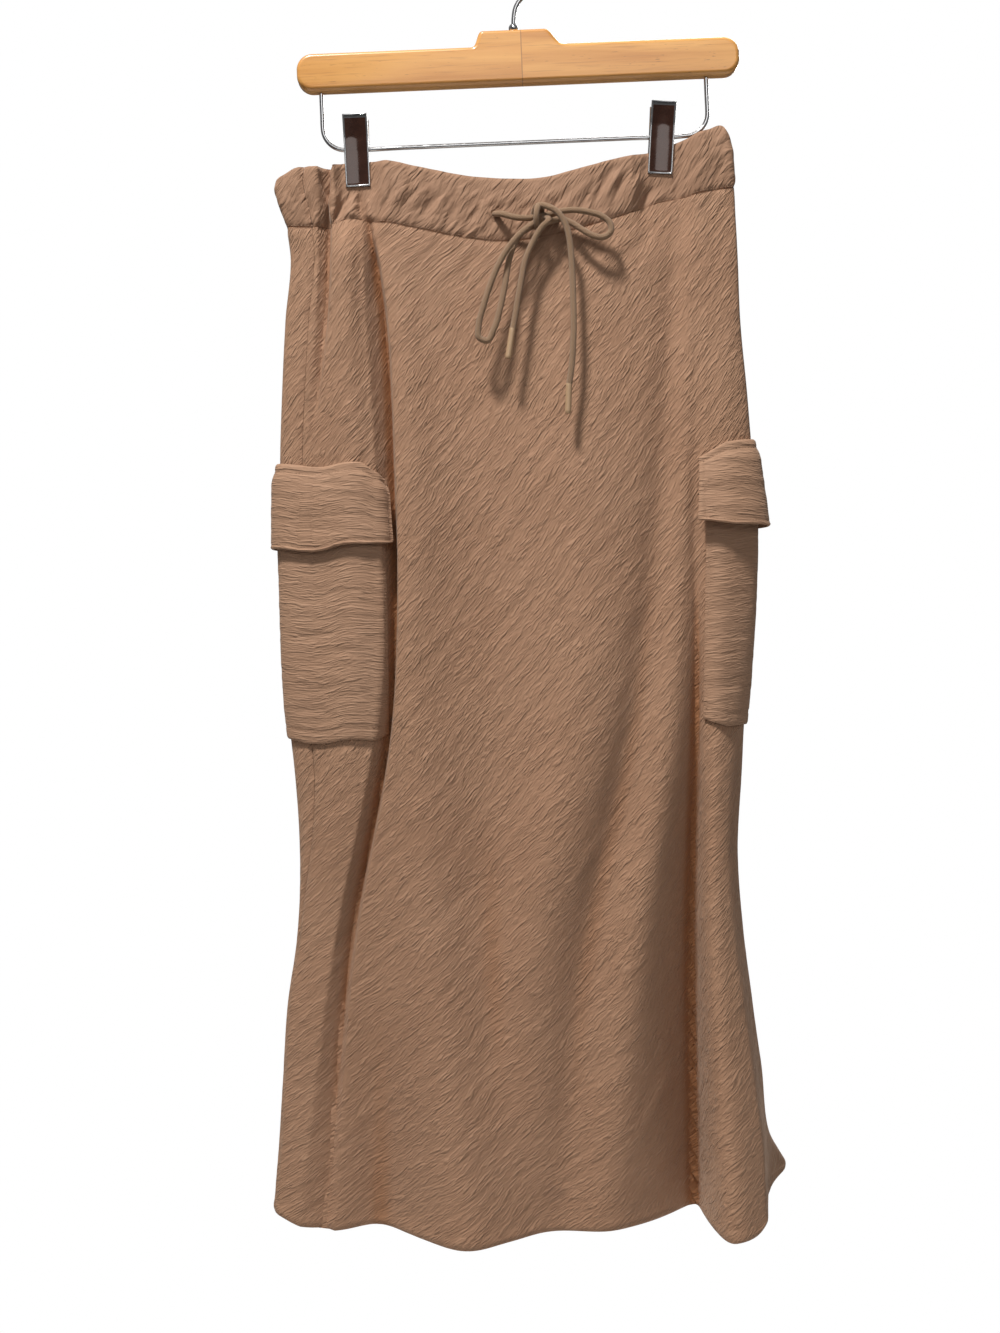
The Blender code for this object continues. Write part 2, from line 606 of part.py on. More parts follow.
panel("front_panel", 56, 20, True)
panel("back_panel", 40, 20, False)
casing("casing_front", 70, 4, True)
casing("casing_back", 64, 4, False)
for side_name, on_left in (("left", True), ("right", False)):
    pouch(f"pocket_{side_name}", on_left)
    flap(f"flap_{side_name}", on_left)
for side_name, clip_centre, clip_turn in zip(("left", "right"), CLIP_CENTRES, CLIP_TURNS):
    clip(side_name, clip_centre, clip_turn)
hanger_bar()
hook()
ferrule()
wire_bow()
knot()
for cord_name, cord_route in CORD_ROUTES.items():
    rod(cord_name, eased_route(cord_route, CORD_STEP), CORD / 2, cord)
for tip_name, tip_ends in AGLETS.items():
    rod(tip_name, tip_ends, AGLET_RADIUS, tip)
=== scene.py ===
"""Looks of a cargo utility skirt that hangs by its waistband from a wooden clip hanger."""

import math
from collections import namedtuple

import bmesh
import bpy
import numpy as np
from mathutils import Matrix, Vector


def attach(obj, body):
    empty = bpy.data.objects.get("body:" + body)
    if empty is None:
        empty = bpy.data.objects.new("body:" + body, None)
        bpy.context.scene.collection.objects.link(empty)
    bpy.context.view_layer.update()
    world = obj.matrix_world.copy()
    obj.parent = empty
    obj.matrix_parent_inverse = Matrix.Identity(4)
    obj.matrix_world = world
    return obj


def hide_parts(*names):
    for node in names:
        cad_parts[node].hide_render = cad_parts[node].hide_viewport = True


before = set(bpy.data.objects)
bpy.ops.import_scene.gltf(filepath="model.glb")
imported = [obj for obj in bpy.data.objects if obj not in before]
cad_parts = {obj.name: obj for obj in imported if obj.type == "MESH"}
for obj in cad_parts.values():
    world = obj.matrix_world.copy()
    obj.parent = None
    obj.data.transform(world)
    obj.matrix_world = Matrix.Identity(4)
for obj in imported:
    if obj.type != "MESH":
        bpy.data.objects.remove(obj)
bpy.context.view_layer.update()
scene = bpy.context.scene

# ---------------------------------------------------------------- the camera
# It stands in front of the skirt, level with its middle.

camera_data = bpy.data.cameras.new("camera")
camera_data.sensor_width = 36
camera_data.lens = 41.91
camera = bpy.data.objects.new("camera", camera_data)
camera.location = (-0.0121, -1.25, -0.5771)
camera.rotation_euler = (math.radians(90), 0, 0)
scene.collection.objects.link(camera)
scene.camera = camera

# ---------------------------------------------------------------- the front panel
# One long piece of crinkle crepe, gathered a little under the waist and flaring to the hem. It wraps
# past both sides of the front, where side seams join it to the back panel.

MM = 0.001
GAP = 0.3  # between pieces that touch
CLOTH_WALL = 1.6
CASING_WALL = 2.6  # cloth folded double
FLAP_WALL = 2.0
CASING_HEIGHT = 40.0
SEAM_SETBACK_LEFT = 27.0  # the left side seam lies this far round the front from the left edge
SEAM_DRIFT_LEFT = 21.0  # and comes this much nearer to the edge below the pocket
SEAM_SETBACK_RIGHT = 19.0  # and the right one this far round the back from the right edge
SEAM_SETBACK_FLARE = 18.0  # the flare pulls it this much further round at the hem

# Heights of the waistband's top edge, of its stitch line and of the hem, across the skirt.
TOP_EDGE_X = (-190, -177, -154, -138, -117, -77, -38, -5, 20, 51, 77, 108, 128, 154, 167, 177)
TOP_EDGE_Z = (-185, -178.5, -177, -173, -171.5, -177, -184, -186.5, -186, -179, -172, -164, -157, -147,
              -144.5, -158)
STITCH_LINE_X = (-186, -151, -134, -106, -80, -48, -10, 36, 73, 97, 114, 134, 155, 176)
STITCH_LINE_Z = (-226, -226, -220, -223.5, -227.5, -233.5, -238, -232, -222, -213.5, -206, -202, -197.5,
                 -194)
HEM_X = (-195, -165, -112, -47, 30, 145, 180, 200, 212)
HEM_Z = (-1014, -1025, -1025, -1030, -1027, -1024, -1028, -1020, -998)

# The skirt's left and right edges at each height.
EDGE_Z = (-146, -160, -178, -195, -215, -242, -300, -363, -420, -470, -524, -580, -625, -660, -725,
          -790, -846, -910, -967, -1027)
LEFT_EDGE = (-184, -186, -189, -191, -185, -180.5, -184.5, -187.5, -189, -188, -185.5, -183.5, -181,
             -177, -173, -175, -182.5, -186.5, -190, -195)
RIGHT_EDGE = (163, 171, 174.5, 176, 177, 178.5, 181, 187, 191, 192, 190, 187, 184.5, 183, 180,
              185, 193, 202, 209, 212)

# The folds. Each runs down the cloth through six levels; at each it has a place across the skirt, a
# half width and a depth, which is positive for a ridge and negative for a valley. A lean moves the
# bottom of a valley, or the top of a ridge, to one side, so that its wall there is steep or overhangs.
# A crisp fold has straight sides between sharp edges. A creased one has one sharp line and soft
# shoulders.
FOLD_LEVELS = (-210, -290, -403, -604, -806, -1027)
Fold = namedtuple("Fold", "name x half_width depth lean profile", defaults=("soft",))
FRONT_FOLDS = (
    Fold("crease in front of the left seam", (-152, -153.5, -162, -166, -170, -170),
         (6, 5, 4, 8, 10, 10), (-12, -10, 0, 0, 0, 0), (4, 3.5, 1, 0, 0, 0), "crisp"),
    Fold("left side of the front", (-146, -148, -150, -150, -150, -150), (30, 32, 34, 34, 34, 34),
         (3, 4, 2, 0, 0, 0), (0, 0, 0, 0, 0, 0)),
    Fold("pleat under the left clip", (-135, -137, -132, -128, -158, -170), (9, 12, 16, 16, 18, 20),
         (7, 8, 7, 5, 3, 3), (2, 3, 3, 0, 0, 0)),
    Fold("pleat beside the left pocket", (-119.5, -111, -103.5, -101, -136, -158),
         (3.5, 8.5, 9, 7.5, 9, 14), (-9, -18, -20, -17, -17, -10), (1, 6, 6, 5, 6, 7), "crisp"),
    Fold("main ridge", (-98, -91, -80, -78, -66, -38), (14, 15, 18, 20, 28, 36),
         (3, 6, 8, 8, 13, 32), (0, 0, -2, -3, 0, 0)),
    Fold("hollow at the left of the hem", (-109, -109, -109, -109, -109, -109),
         (20, 20, 20, 20, 20, 20), (0, 0, 0, 0, -3, -14), (0, 0, 0, 0, 0, 0)),
    Fold("hollow of the front", (-40, -38, -36, -24, -14, 18), (24, 26, 28, 28, 24, 16),
         (-1, -2, -3, -6, -8, -3), (0, 0, 0, 0, 0, 0)),
    Fold("broad ridge", (62, 60, 58, 56, 14, 6), (34, 36, 38, 36, 26, 24),
         (3, 5, 7, 10, 10, 4), (0, 0, 0, 0, 0, 0)),
    Fold("slanting valley", (130, 126, 121, 101, 60, 39), (12, 13, 15, 17, 17, 18),
         (-5, -6, -7, -8, -6, -3), (0, 0, -1, -3, -3, -2)),
    Fold("slanting ridge", (142, 141, 139, 128, 95, 74), (12, 12, 12, 13, 18, 20),
         (1, 2, 3, 7, 9, 6), (0, 0, 0, 0, 0, 0)),
    Fold("valley beside the side strip", (148, 145, 143, 137, 129, 131), (8, 8, 7, 9, 15, 18),
         (0, -2, -5, -23, -45, -58), (0, 0, 0, 10, 18, 20), "creased"),
    Fold("side strip", (170, 170, 170, 166, 168, 181), (12, 13, 14, 14, 19, 27),
         (0, 1, 3, 9, 18, 34), (0, 0, 0, -5, -9, -8)),
)
BACK_FOLDS = (
    Fold("back ridge by the left seam", (-150, -150, -150, -148, -152, -156), (16, 17, 18, 20, 20, 22),
         (1, 2, 3, 6, 9, 14), (0, 0, 0, 0, 0, 0)),
    Fold("back left valley", (-104, -106, -108, -112, -114, -116), (12, 13, 14, 15, 18, 20),
         (-3, -4, -7, -12, -16, -22), (0, 0, 0, 2, 3, 4)),
    Fold("back left ridge", (-64, -61, -58, -56, -50, -54), (20, 23, 26, 28, 30, 32),
         (2, 3, 5, 9, 14, 22), (0, 0, 0, 0, -3, -5)),
    Fold("back middle valley", (0, 2, 3, 8, 12, 18), (16, 17, 18, 20, 22, 22),
         (-2, -4, -6, -10, -16, -25), (0, 0, 0, 0, 2, 4)),
    Fold("back right ridge", (50, 53, 56, 64, 72, 80), (20, 22, 24, 24, 26, 28),
         (2, 3, 5, 8, 13, 19), (0, 0, 0, 0, 0, 0)),
    Fold("back right valley", (102, 103, 104, 110, 117, 122), (12, 13, 14, 14, 15, 16),
         (-3, -4, -6, -9, -12, -14), (0, 0, 0, 0, 3, 4)),
    Fold("back ridge by the right seam", (144, 145, 146, 150, 158, 168), (14, 15, 16, 18, 20, 24),
         (1, 2, 3, 6, 12, 24), (0, 0, 0, 0, 0, 0)),
)
# How far the front and the back stand off the middle of the flattened ring, and how square its
# ends are.
FRONT_DEPTH = (9, 13, 20, 27, 27, 17)
BACK_DEPTH = (9, 13, 21, 30, 40, 54)
END_SQUARENESS = (8, 5, 3.4, 2.9, 2.8, 3.6)

# Towards the hem the right edge swings to the back and flares out.
FLARE_LEVELS = (-210, -604, -800, -900, -965, -998, -1027)
FLARE_SIDEWAYS = (0, 0, 0, 0, 2, 18, 22)
FLARE_BACK = (0, 2, 9, 24, 44, 63, 76)
FLARE_SHARPNESS = 3  # its corner is drawn out into a point
FLARE_REACH_FRONT = 13.0  # measured in from the right edge
FLARE_REACH_BACK = 42.0
FLARE_THINNING = 0.75  # how much of the back's own depth the flare takes up at the hem
CLIP_CENTRES = (-127.4, 118.0)  # the clips press the waist flat here
CLIP_FOOT = -194.0  # and down to this level


def through(levels, values, at):
    """A smooth curve through a table's values, read at the places `at`."""
    levels = np.asarray(levels, float)
    values = np.asarray(values, float)
    if levels[0] > levels[-1]:
        levels, values = levels[::-1], values[::-1]
    at = np.clip(at, levels[0], levels[-1])
    slopes = np.gradient(values, levels)
    i = np.clip(np.searchsorted(levels, at) - 1, 0, len(levels) - 2)
    step = levels[i + 1] - levels[i]
    f = (at - levels[i]) / step
    start = values[i] * (1 + 2 * f) * (1 - f) ** 2 + slopes[i] * step * f * (1 - f) ** 2
    end = values[i + 1] * f * f * (3 - 2 * f) + slopes[i + 1] * step * f * f * (f - 1)
    return start + end


def smooth(low, high, value):
    """0 below low, 1 above high, and an even S between them."""
    f = np.clip((value - low) / (high - low), 0, 1)
    return f * f * (3 - 2 * f)


def height(share, x):
    """Level of the cloth: share -1 is the waist's top edge, 0 the stitch line and 1 the hem."""
    stitch = through(STITCH_LINE_X, STITCH_LINE_Z, x)
    top = through(TOP_EDGE_X, TOP_EDGE_Z, x)
    hem = through(HEM_X, HEM_Z, x)
    return np.where(share < 0, stitch + (stitch - top) * share, stitch + (hem - stitch) * share)


def fading(profile, away):
    """How a fold dies out away from its line, where it is 1."""
    if profile == "crisp":
        return np.clip(1 - away, 0, 1)
    if profile == "creased":
        return np.exp(-((np.hypot(away, 0.2) - 0.2) ** 1.2))
    return np.exp(-(away**2))


def fold_shift(folds, x, z):
    """How far the folds move the cloth outwards and sideways."""
    outwards = np.zeros_like(x)
    sideways = np.zeros_like(x)
    for fold in folds:
        centre = through(FOLD_LEVELS, fold.x, z)
        half_width = through(FOLD_LEVELS, fold.half_width, z)
        bump = fading(fold.profile, np.abs(x - centre) / half_width)
        outwards += through(FOLD_LEVELS, fold.depth, z) * bump
        sideways += through(FOLD_LEVELS, fold.lean, z) * bump
    return outwards, sideways


def clip_pinch(x, z):
    """1 where a clip presses the waist flat, falling to 0 around it."""
    pinch = np.zeros_like(x)
    for centre in CLIP_CENTRES:
        beside = 1 - smooth(11, 26, np.abs(x - centre))
        below = 1 - smooth(2, 60, CLIP_FOOT - z)
        pinch = np.maximum(pinch, beside * below)
    return pinch


def gathers(around, share):
    """Small waves of the casing along the ring: strong at the ends of the front and along the back."""
    wave = np.sin(around / 3.1 + 1.7 * np.sin(around / 23.0)) + 0.5 * np.sin(around / 5.3 + 1.0)
    strength = 0.35 + 1.0 * (1 - smooth(30, 75, around)) + 0.9 * smooth(300, 350, around)
    envelope = 0.45 * np.sin(np.pi * np.clip(-share, 0, 1)) ** 0.5 + 0.55 * smooth(0.5, 1.0, -share)
    return wave * np.clip(strength, 0, 1.25) * np.where(share < 0, envelope, 0)


# The cloth is worked out once, ring by ring, from the waist's top edge to the hem.
RING_SHARES = np.concatenate([np.linspace(-1, 0, 60, endpoint=False), np.linspace(0, 1, 520)])
RING_STEPS = 1600
ROUGH_LEFT, ROUGH_WIDTH = -190.0, 370.0  # near enough to find each ring's level
GATHERED_ROUND = 800.0  # the casing's gathers are placed as on a ring of this length


def ring(share):
    """Even steps round the cloth at one share of the way down: places and outward sides.

    The ring starts at the left edge, runs along the front to the right edge and comes back along the
    back. Its whole length and the distance to its right edge come with it.
    """
    turn = np.linspace(0, 2 * math.pi, RING_STEPS + 1)
    across = (1 - np.cos(turn)) / 2
    rough_z = height(share, ROUGH_LEFT + ROUGH_WIDTH * across)
    left = through(EDGE_Z, LEFT_EDGE, rough_z[0])
    right = through(EDGE_Z, RIGHT_EDGE, rough_z[RING_STEPS // 2])
    x = left + (right - left) * across
    z = height(share, x)
    is_front = turn <= math.pi
    side = np.where(is_front, -1.0, 1.0)
    squareness = through(FOLD_LEVELS, END_SQUARENESS, z)
    fullness = np.clip(1 - np.abs(2 * across - 1) ** squareness, 0, 1) ** (1 / squareness)
    depth = np.where(is_front, through(FOLD_LEVELS, FRONT_DEPTH, z),
                     through(FOLD_LEVELS, BACK_DEPTH, z))
    front_out, front_aside = fold_shift(FRONT_FOLDS, x, z)
    back_out, back_aside = fold_shift(BACK_FOLDS, x, z)
    out = depth + np.where(is_front, front_out, back_out)
    pinch = clip_pinch(x, z)
    out = out * (1 - pinch) + (CASING_WALL + GAP) * pinch
    y = side * out * fullness
    x = x + np.where(is_front, front_aside, back_aside) * fullness * (1 - pinch)
    reach = np.where(is_front, FLARE_REACH_FRONT, FLARE_REACH_BACK)
    flare = smooth(right - reach, right, x)
    swing = through(FLARE_LEVELS, FLARE_BACK, z)
    thinning = FLARE_THINNING * swing / FLARE_BACK[-1]
    x = x + through(FLARE_LEVELS, FLARE_SIDEWAYS, z) * flare**FLARE_SHARPNESS
    y = y * np.where(is_front, 1, 1 - thinning * flare) + swing * flare
    along = np.concatenate([[0], np.cumsum(np.hypot(np.diff(x), np.diff(y)))])
    dx, dy = np.gradient(x), np.gradient(y)
    length = np.hypot(dx, dy)
    out_x, out_y = dy / length, -dx / length
    waves = gathers(along / along[-1] * GATHERED_ROUND, share) * (1 - pinch)
    even = np.linspace(0, along[-1], RING_STEPS + 1)
    columns = (x + out_x * waves, y + out_y * waves, z, out_x, out_y)
    points = np.stack([np.interp(even, along, column) for column in columns], axis=1)
    return points, along[-1], along[RING_STEPS // 2]


rings = [ring(share) for share in RING_SHARES]
RING_POINTS = np.array([r[0] for r in rings])
RING_LENGTHS = np.array([r[1] for r in rings])
RING_RIGHTS = np.array([r[2] for r in rings])


def seams(share):
    """Distances round the ring of the left and the right side seam, and the whole way round."""
    right = np.interp(share, RING_SHARES, RING_RIGHTS) + SEAM_SETBACK_RIGHT
    right = right + SEAM_SETBACK_FLARE * smooth(0.7, 1.0, share)
    left = SEAM_SETBACK_LEFT - SEAM_DRIFT_LEFT * smooth(0.52, 0.75, share)
    return left, right, np.interp(share, RING_SHARES, RING_LENGTHS)


def on_cloth(share, way, lift=0.0):
    """Points of the cloth at distances round the ring, moved out by lift, in millimetres."""
    share, way, lift = np.broadcast_arrays(np.asarray(share, float), way, lift)
    row = np.interp(share, RING_SHARES, np.arange(len(RING_SHARES)))
    low = np.minimum(row.astype(int), len(RING_SHARES) - 2)
    found = 0
    for step, weight in ((0, 1 - row + low), (1, row - low)):
        column = way / RING_LENGTHS[low + step] % 1 * RING_STEPS
        left = np.minimum(column.astype(int), RING_STEPS - 1)
        between = (column - left)[..., None]
        start, end = RING_POINTS[low + step, left], RING_POINTS[low + step, left + 1]
        found = found + weight[..., None] * (start * (1 - between) + end * between)
    out = found[..., 3:] / np.linalg.norm(found[..., 3:], axis=-1, keepdims=True)
    return np.concatenate([found[..., :2] + out * lift[..., None], found[..., 2:3]], axis=-1)


def calm(share, way):
    """1 on open cloth, falling where it bends tightly round a fold and the crinkles are pulled out."""
    reach, sharp_bend = 3.0, 0.07
    behind, here, ahead = (on_cloth(share, way + step) for step in (-reach, 0.0, reach))
    bend = np.linalg.norm(behind + ahead - 2 * here, axis=-1) / reach**2
    return 1 / (1 + (bend / sharp_bend) ** 2)


def hollow(share, way):
    """1 down in a fold and 0 on open cloth; the finish paints shade into the colour there."""
    reach = 24.0
    behind, here, ahead = (on_cloth(share, way + step) for step in (-reach, 0.0, reach))
    chord = ahead - behind
    dip = ((behind + ahead) / 2 - here)[..., :2] * np.stack([chord[..., 1], -chord[..., 0]], axis=-1)
    return smooth(5.0, 15.0, np.sum(dip, axis=-1) / np.linalg.norm(chord[..., :2], axis=-1))


def hills(seed, u, v):
    """Smooth random hills between -1 and 1, about one to a unit."""
    size = 97  # of the table, which repeats
    table = np.random.default_rng(seed).uniform(-1, 1, (size, size))
    i, j = np.floor(u).astype(int), np.floor(v).astype(int)
    across, down = smooth(0, 1, u - i), smooth(0, 1, v - j)
    left, right, top, bottom = i % size, (i + 1) % size, j % size, (j + 1) % size
    upper = table[left, top] * (1 - across) + table[right, top] * across
    lower = table[left, bottom] * (1 - across) + table[right, bottom] * across
    return upper * (1 - down) + lower * down


def crinkle_place(u, v, slope, drift=0.0):
    """Distances along and across the crinkles, which rise at a slope that drifts down the cloth."""
    flat = u + 1j * v
    rotated = flat * np.exp(-1j * math.radians(slope)) * (1 + drift * flat / 1000)
    return rotated.real, rotated.imag


def puckers(seed, along, across, length, width):
    """Soft uneven puckers, stretched along the crinkles."""
    bent = across + 0.9 * width * hills(seed + 50, along / 34, across / 34)
    broad = hills(seed, along / length, bent / width)
    narrow = hills(seed + 1, along / length * 1.9, bent / width * 1.7)
    patchy = 0.65 + 0.35 * hills(seed + 2, along / 55, across / 40)
    return (0.7 * broad + 0.4 * narrow) * patchy


Crease = namedtuple("Crease", "x z length slope half_width depth")


def placed_creases(*rows):
    """Creases listed one by one, each where its middle is; a negative depth is a trough."""
    return [Crease(*row) for row in rows]


def pressed(placed, x, z):
    """How far the placed creases move the cloth."""
    moved = np.zeros_like(x)
    for crease in placed:
        turn = math.radians(crease.slope)
        along = (x - crease.x) * math.cos(turn) + (z - crease.z) * math.sin(turn)
        across = (z - crease.z) * math.cos(turn) - (x - crease.x) * math.sin(turn)
        across = across + 0.08 * crease.length * (along / crease.length) ** 2 * 4
        ends = 1 - smooth(0.2, 1.0, np.abs(along) / (crease.length / 2))
        moved += crease.depth * np.exp(-((across / crease.half_width) ** 2)) * ends
    return moved


def add_piece(name, data, sharp_from, *finishes):
    """A finished mesh as a piece of the object, smooth except at edges that turn by more degrees."""
    for finish in finishes:
        data.materials.append(finish)
    data.shade_smooth()
    data.set_sharp_from_angle(angle=math.radians(sharp_from))
    piece = bpy.data.objects.new(name, data)
    scene.collection.objects.link(piece)
    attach(piece, "root")
    return piece


COARSER = 4  # the wall's hidden face has one step to this many of the fine face's


def cloth_piece(name, share, way, lift, wall, crinkles, finish, off=0.0):
    """A closed wall of cloth: a fine face with its folds and a plainer one behind it."""
    off = np.broadcast_to(off, share.shape)
    face = on_cloth(share, way, off + lift)
    plainer = (slice(None, None, COARSER), slice(None, None, COARSER))
    behind = on_cloth(share[plainer], way[plainer], off[plainer] - wall)
    rows, columns = share.shape
    outer = np.arange(rows * columns).reshape(rows, columns)
    inner = rows * columns + np.arange(behind.shape[0] * behind.shape[1]).reshape(behind.shape[:2])
    quads = np.stack([outer[:-1, :-1], outer[1:, :-1], outer[1:, 1:], outer[:-1, 1:]], axis=-1)
    backs = np.stack([inner[:-1, :-1], inner[:-1, 1:], inner[1:, 1:], inner[1:, :-1]], axis=-1)
    faces = quads.reshape(-1, 4).tolist() + backs.reshape(-1, 4).tolist()
    edges = ((outer[0], inner[0]), (outer[:, -1], inner[:, -1]),
             (outer[-1, ::-1], inner[-1, ::-1]), (outer[::-1, 0], inner[::-1, 0]))
    for fine, plain in edges:
        for i in range(len(plain) - 1):
            along_fine = fine[COARSER * i:COARSER * (i + 1) + 1].tolist()
            faces.append([*along_fine, int(plain[i + 1]), int(plain[i])])
    data = bpy.data.meshes.new(name)
    corners = np.concatenate([face.reshape(-1, 3), behind.reshape(-1, 3)]) * MM
    data.from_pydata(corners.tolist(), [], faces)
    along, across = crinkles
    uv = np.stack([along, across], axis=-1)
    uv = np.concatenate([uv.reshape(-1, 2), uv[plainer].reshape(-1, 2)]) * MM
    owners = np.empty(len(data.loops), int)
    data.loops.foreach_get("vertex_index", owners)
    data.uv_layers.new(name="crinkles").data.foreach_set("uv", uv[owners].ravel())
    # How deep each point lies in a fold is stored for the finish, which paints shade there.
    deep = hollow(share, way)
    deep = np.concatenate([deep.ravel(), deep[plainer].ravel()])
    data.attributes.new("hollow", "FLOAT", "POINT").data.foreach_set("value", deep)
    return add_piece(name, data, 58, finish)


def cut_area(share, way):
    """Flat area of a piece in square metres."""
    points = on_cloth(share, way) * MM
    down, right = np.diff(points[:, :-1], axis=0), np.diff(points[:-1], axis=1)
    return float(np.linalg.norm(np.cross(down, right), axis=-1).sum())


def node(tree, kind, values=(), **settings):
    """A shader or geometry node; a value that is a socket is linked."""
    made = tree.nodes.new(kind)
    for key, value in settings.items():
        setattr(made, key, value)
    for socket, value in dict(values).items():
        if isinstance(value, bpy.types.NodeSocket):
            tree.links.new(value, made.inputs[socket])
        else:
            made.inputs[socket].default_value = value
    return made


def maths(tree, operation, first, second=0.0, third=0.0):
    """The result of one sum on values or sockets."""
    return node(tree, "ShaderNodeMath", {0: first, 1: second, 2: third}, operation=operation).outputs[0]


def scaled(tree, place, by):
    """A place stretched or squeezed along its three directions."""
    return node(tree, "ShaderNodeVectorMath", {0: place, 1: by}, operation="MULTIPLY").outputs[0]


def noise(tree, place, scale, detail=2.0, **settings):
    """Soft noise between 0 and 1."""
    values = {"Vector": place, "Scale": scale, "Detail": detail}
    return node(tree, "ShaderNodeTexNoise", values, **settings).outputs[0]


def ranged(tree, value, start, end, first, last, **settings):
    """A value's run from start to end turned into a run from first to last."""
    values = {"Value": value, 1: start, 2: end, 3: first, 4: last}
    return node(tree, "ShaderNodeMapRange", values, **settings).outputs[0]


def blended(tree, share, first, second, **settings):
    """The first colour, or the second where the share is 1."""
    mixing = node(tree, "ShaderNodeMix", {0: share, 6: first, 7: second}, data_type="RGBA", **settings)
    return mixing.outputs[2]


def bumped(tree, shader, height_socket, distance, strength=1.0):
    """A relief of some metres on the shader's surface."""
    values = {"Strength": strength, "Distance": distance, "Height": height_socket}
    tree.links.new(node(tree, "ShaderNodeBump", values).outputs[0], shader.inputs["Normal"])


def new_finish(name, **plain):
    """A new material with its tree and its shader; plain settings are the shader's, by their names."""
    made = bpy.data.materials.new(name)
    made.use_nodes = True
    shader = made.node_tree.nodes["Principled BSDF"]
    for socket, value in plain.items():
        shader.inputs[socket.replace("_", " ")].default_value = value
    return made, made.node_tree, shader


def mottled(tree, shader, scale, detail, first, second):
    """Colour that wanders between two through the object; the noise behind it comes back."""
    place = node(tree, "ShaderNodeTexCoord").outputs["Object"]
    patches = noise(tree, place, scale, detail)
    tree.links.new(blended(tree, patches, first, second), shader.inputs["Base Color"])
    return patches


def new_group(name, inputs, outputs):
    """An empty shader group with named sockets, and its input and output nodes."""
    tree = bpy.data.node_groups.new(name, "ShaderNodeTree")
    for socket, kind, value in inputs:
        made = tree.interface.new_socket(socket, in_out="INPUT", socket_type=kind)
        if value is not None:
            made.default_value = value
    for socket, kind in outputs:
        tree.interface.new_socket(socket, in_out="OUTPUT", socket_type=kind)
    return tree, tree.nodes.new("NodeGroupInput").outputs, tree.nodes.new("NodeGroupOutput").inputs


# Crepe: uneven sharp little creases one way of the cloth, stronger in patches, and a fine dry grain.
crepe, given, put = new_group(
    "crepe",
    (("Place", "NodeSocketVector", None), ("Length", "NodeSocketFloat", 0.02),
     ("Width", "NodeSocketFloat", 0.004), ("Bend", "NodeSocketFloat", 0.006),
     ("Light", "NodeSocketColor", (0.4, 0.235, 0.15, 1)),
     ("Dark", "NodeSocketColor", (0.25, 0.13, 0.075, 1))),
    (("Height", "NodeSocketFloat"), ("Colour", "NodeSocketColor"), ("Roughness", "NodeSocketFloat")),
)
wander = node(crepe, "ShaderNodeTexNoise", {"Vector": given["Place"], "Scale": 26.0, "Detail": 1.0})
centred = node(crepe, "ShaderNodeVectorMath", {0: wander.outputs["Color"], 1: (0.5, 0.5, 0.5)},
               operation="SUBTRACT")
pushed = node(crepe, "ShaderNodeVectorMath", {0: centred.outputs[0], "Scale": given["Bend"]},
              operation="SCALE")
moved = node(crepe, "ShaderNodeVectorMath", {0: given["Place"], 1: pushed.outputs[0]}, operation="ADD")
sizes = node(crepe, "ShaderNodeCombineXYZ", {"X": given["Length"], "Y": given["Width"], "Z": 1.0})
lie = node(crepe, "ShaderNodeVectorMath", {0: moved.outputs[0], 1: sizes.outputs[0]},
           operation="DIVIDE").outputs[0]


def crinkle_noise(finer):
    """Noise stretched along the crinkles, so many times finer than the longest ones."""
    place = scaled(crepe, lie, (finer, finer, 1.0))
    return noise(crepe, place, 1.0, 1.0, noise_dimensions="2D")


def crepe_maths(operation, first, second=0.0, third=0.0):
    """A sum inside the crepe's group."""
    return maths(crepe, operation, first, second, third)


swells, ripples, patches = crinkle_noise(1.0), crinkle_noise(1.7), crinkle_noise(0.23)
sharp = crepe_maths("ABSOLUTE", crepe_maths("MULTIPLY_ADD", swells, 2.0, -1.0))
sharp = crepe_maths("POWER", crepe_maths("MINIMUM", crepe_maths("MULTIPLY", sharp, 3.0), 1.0), 0.8)
strength = ranged(crepe, patches, 0.36, 0.62, 0.6, 1.0)
grain = noise(crepe, given["Place"], 1300.0, 1.0)
broad = noise(crepe, given["Place"], 11.0)
relief = crepe_maths("MULTIPLY_ADD", sharp, 0.3, swells)
relief = crepe_maths("MULTIPLY", crepe_maths("MULTIPLY_ADD", ripples, 0.6, relief), strength)
crepe.links.new(crepe_maths("MULTIPLY_ADD", grain, 0.05, relief), put["Height"])
# Colour: painted light on the crinkles' crests and painted shade in their troughs, plus random patches
# and grain.
crest_shade_and_tone = crepe_maths("MULTIPLY_ADD", sharp, 0.14, crepe_maths("MULTIPLY", ripples, 0.2))
crest_shade_and_tone = crepe_maths("MULTIPLY_ADD", swells, 0.25, crest_shade_and_tone)
crest_shade_and_tone = crepe_maths("MULTIPLY_ADD", broad, 0.5, crepe_maths("ADD", crest_shade_and_tone, -0.12))
crest_shade_and_tone = crepe_maths("MULTIPLY_ADD", grain, 0.1, crest_shade_and_tone)
crest_shade_and_tone = node(crepe, "ShaderNodeClamp", {"Value": crest_shade_and_tone}).outputs[0]
crepe.links.new(blended(crepe, crest_shade_and_tone, given["Dark"], given["Light"]), put["Colour"])
crepe.links.new(crepe_maths("MULTIPLY_ADD", crest_shade_and_tone, -0.12, 0.84), put["Roughness"])

CREPE_LIGHT = (0.44, 0.268, 0.175, 1)
CREPE_DARK = (0.3, 0.162, 0.096, 1)
FOLD_SHADE_TINT = (0.8, 0.6, 0.4, 1)  # painted shade: inside the folds the colour is darker and warmer
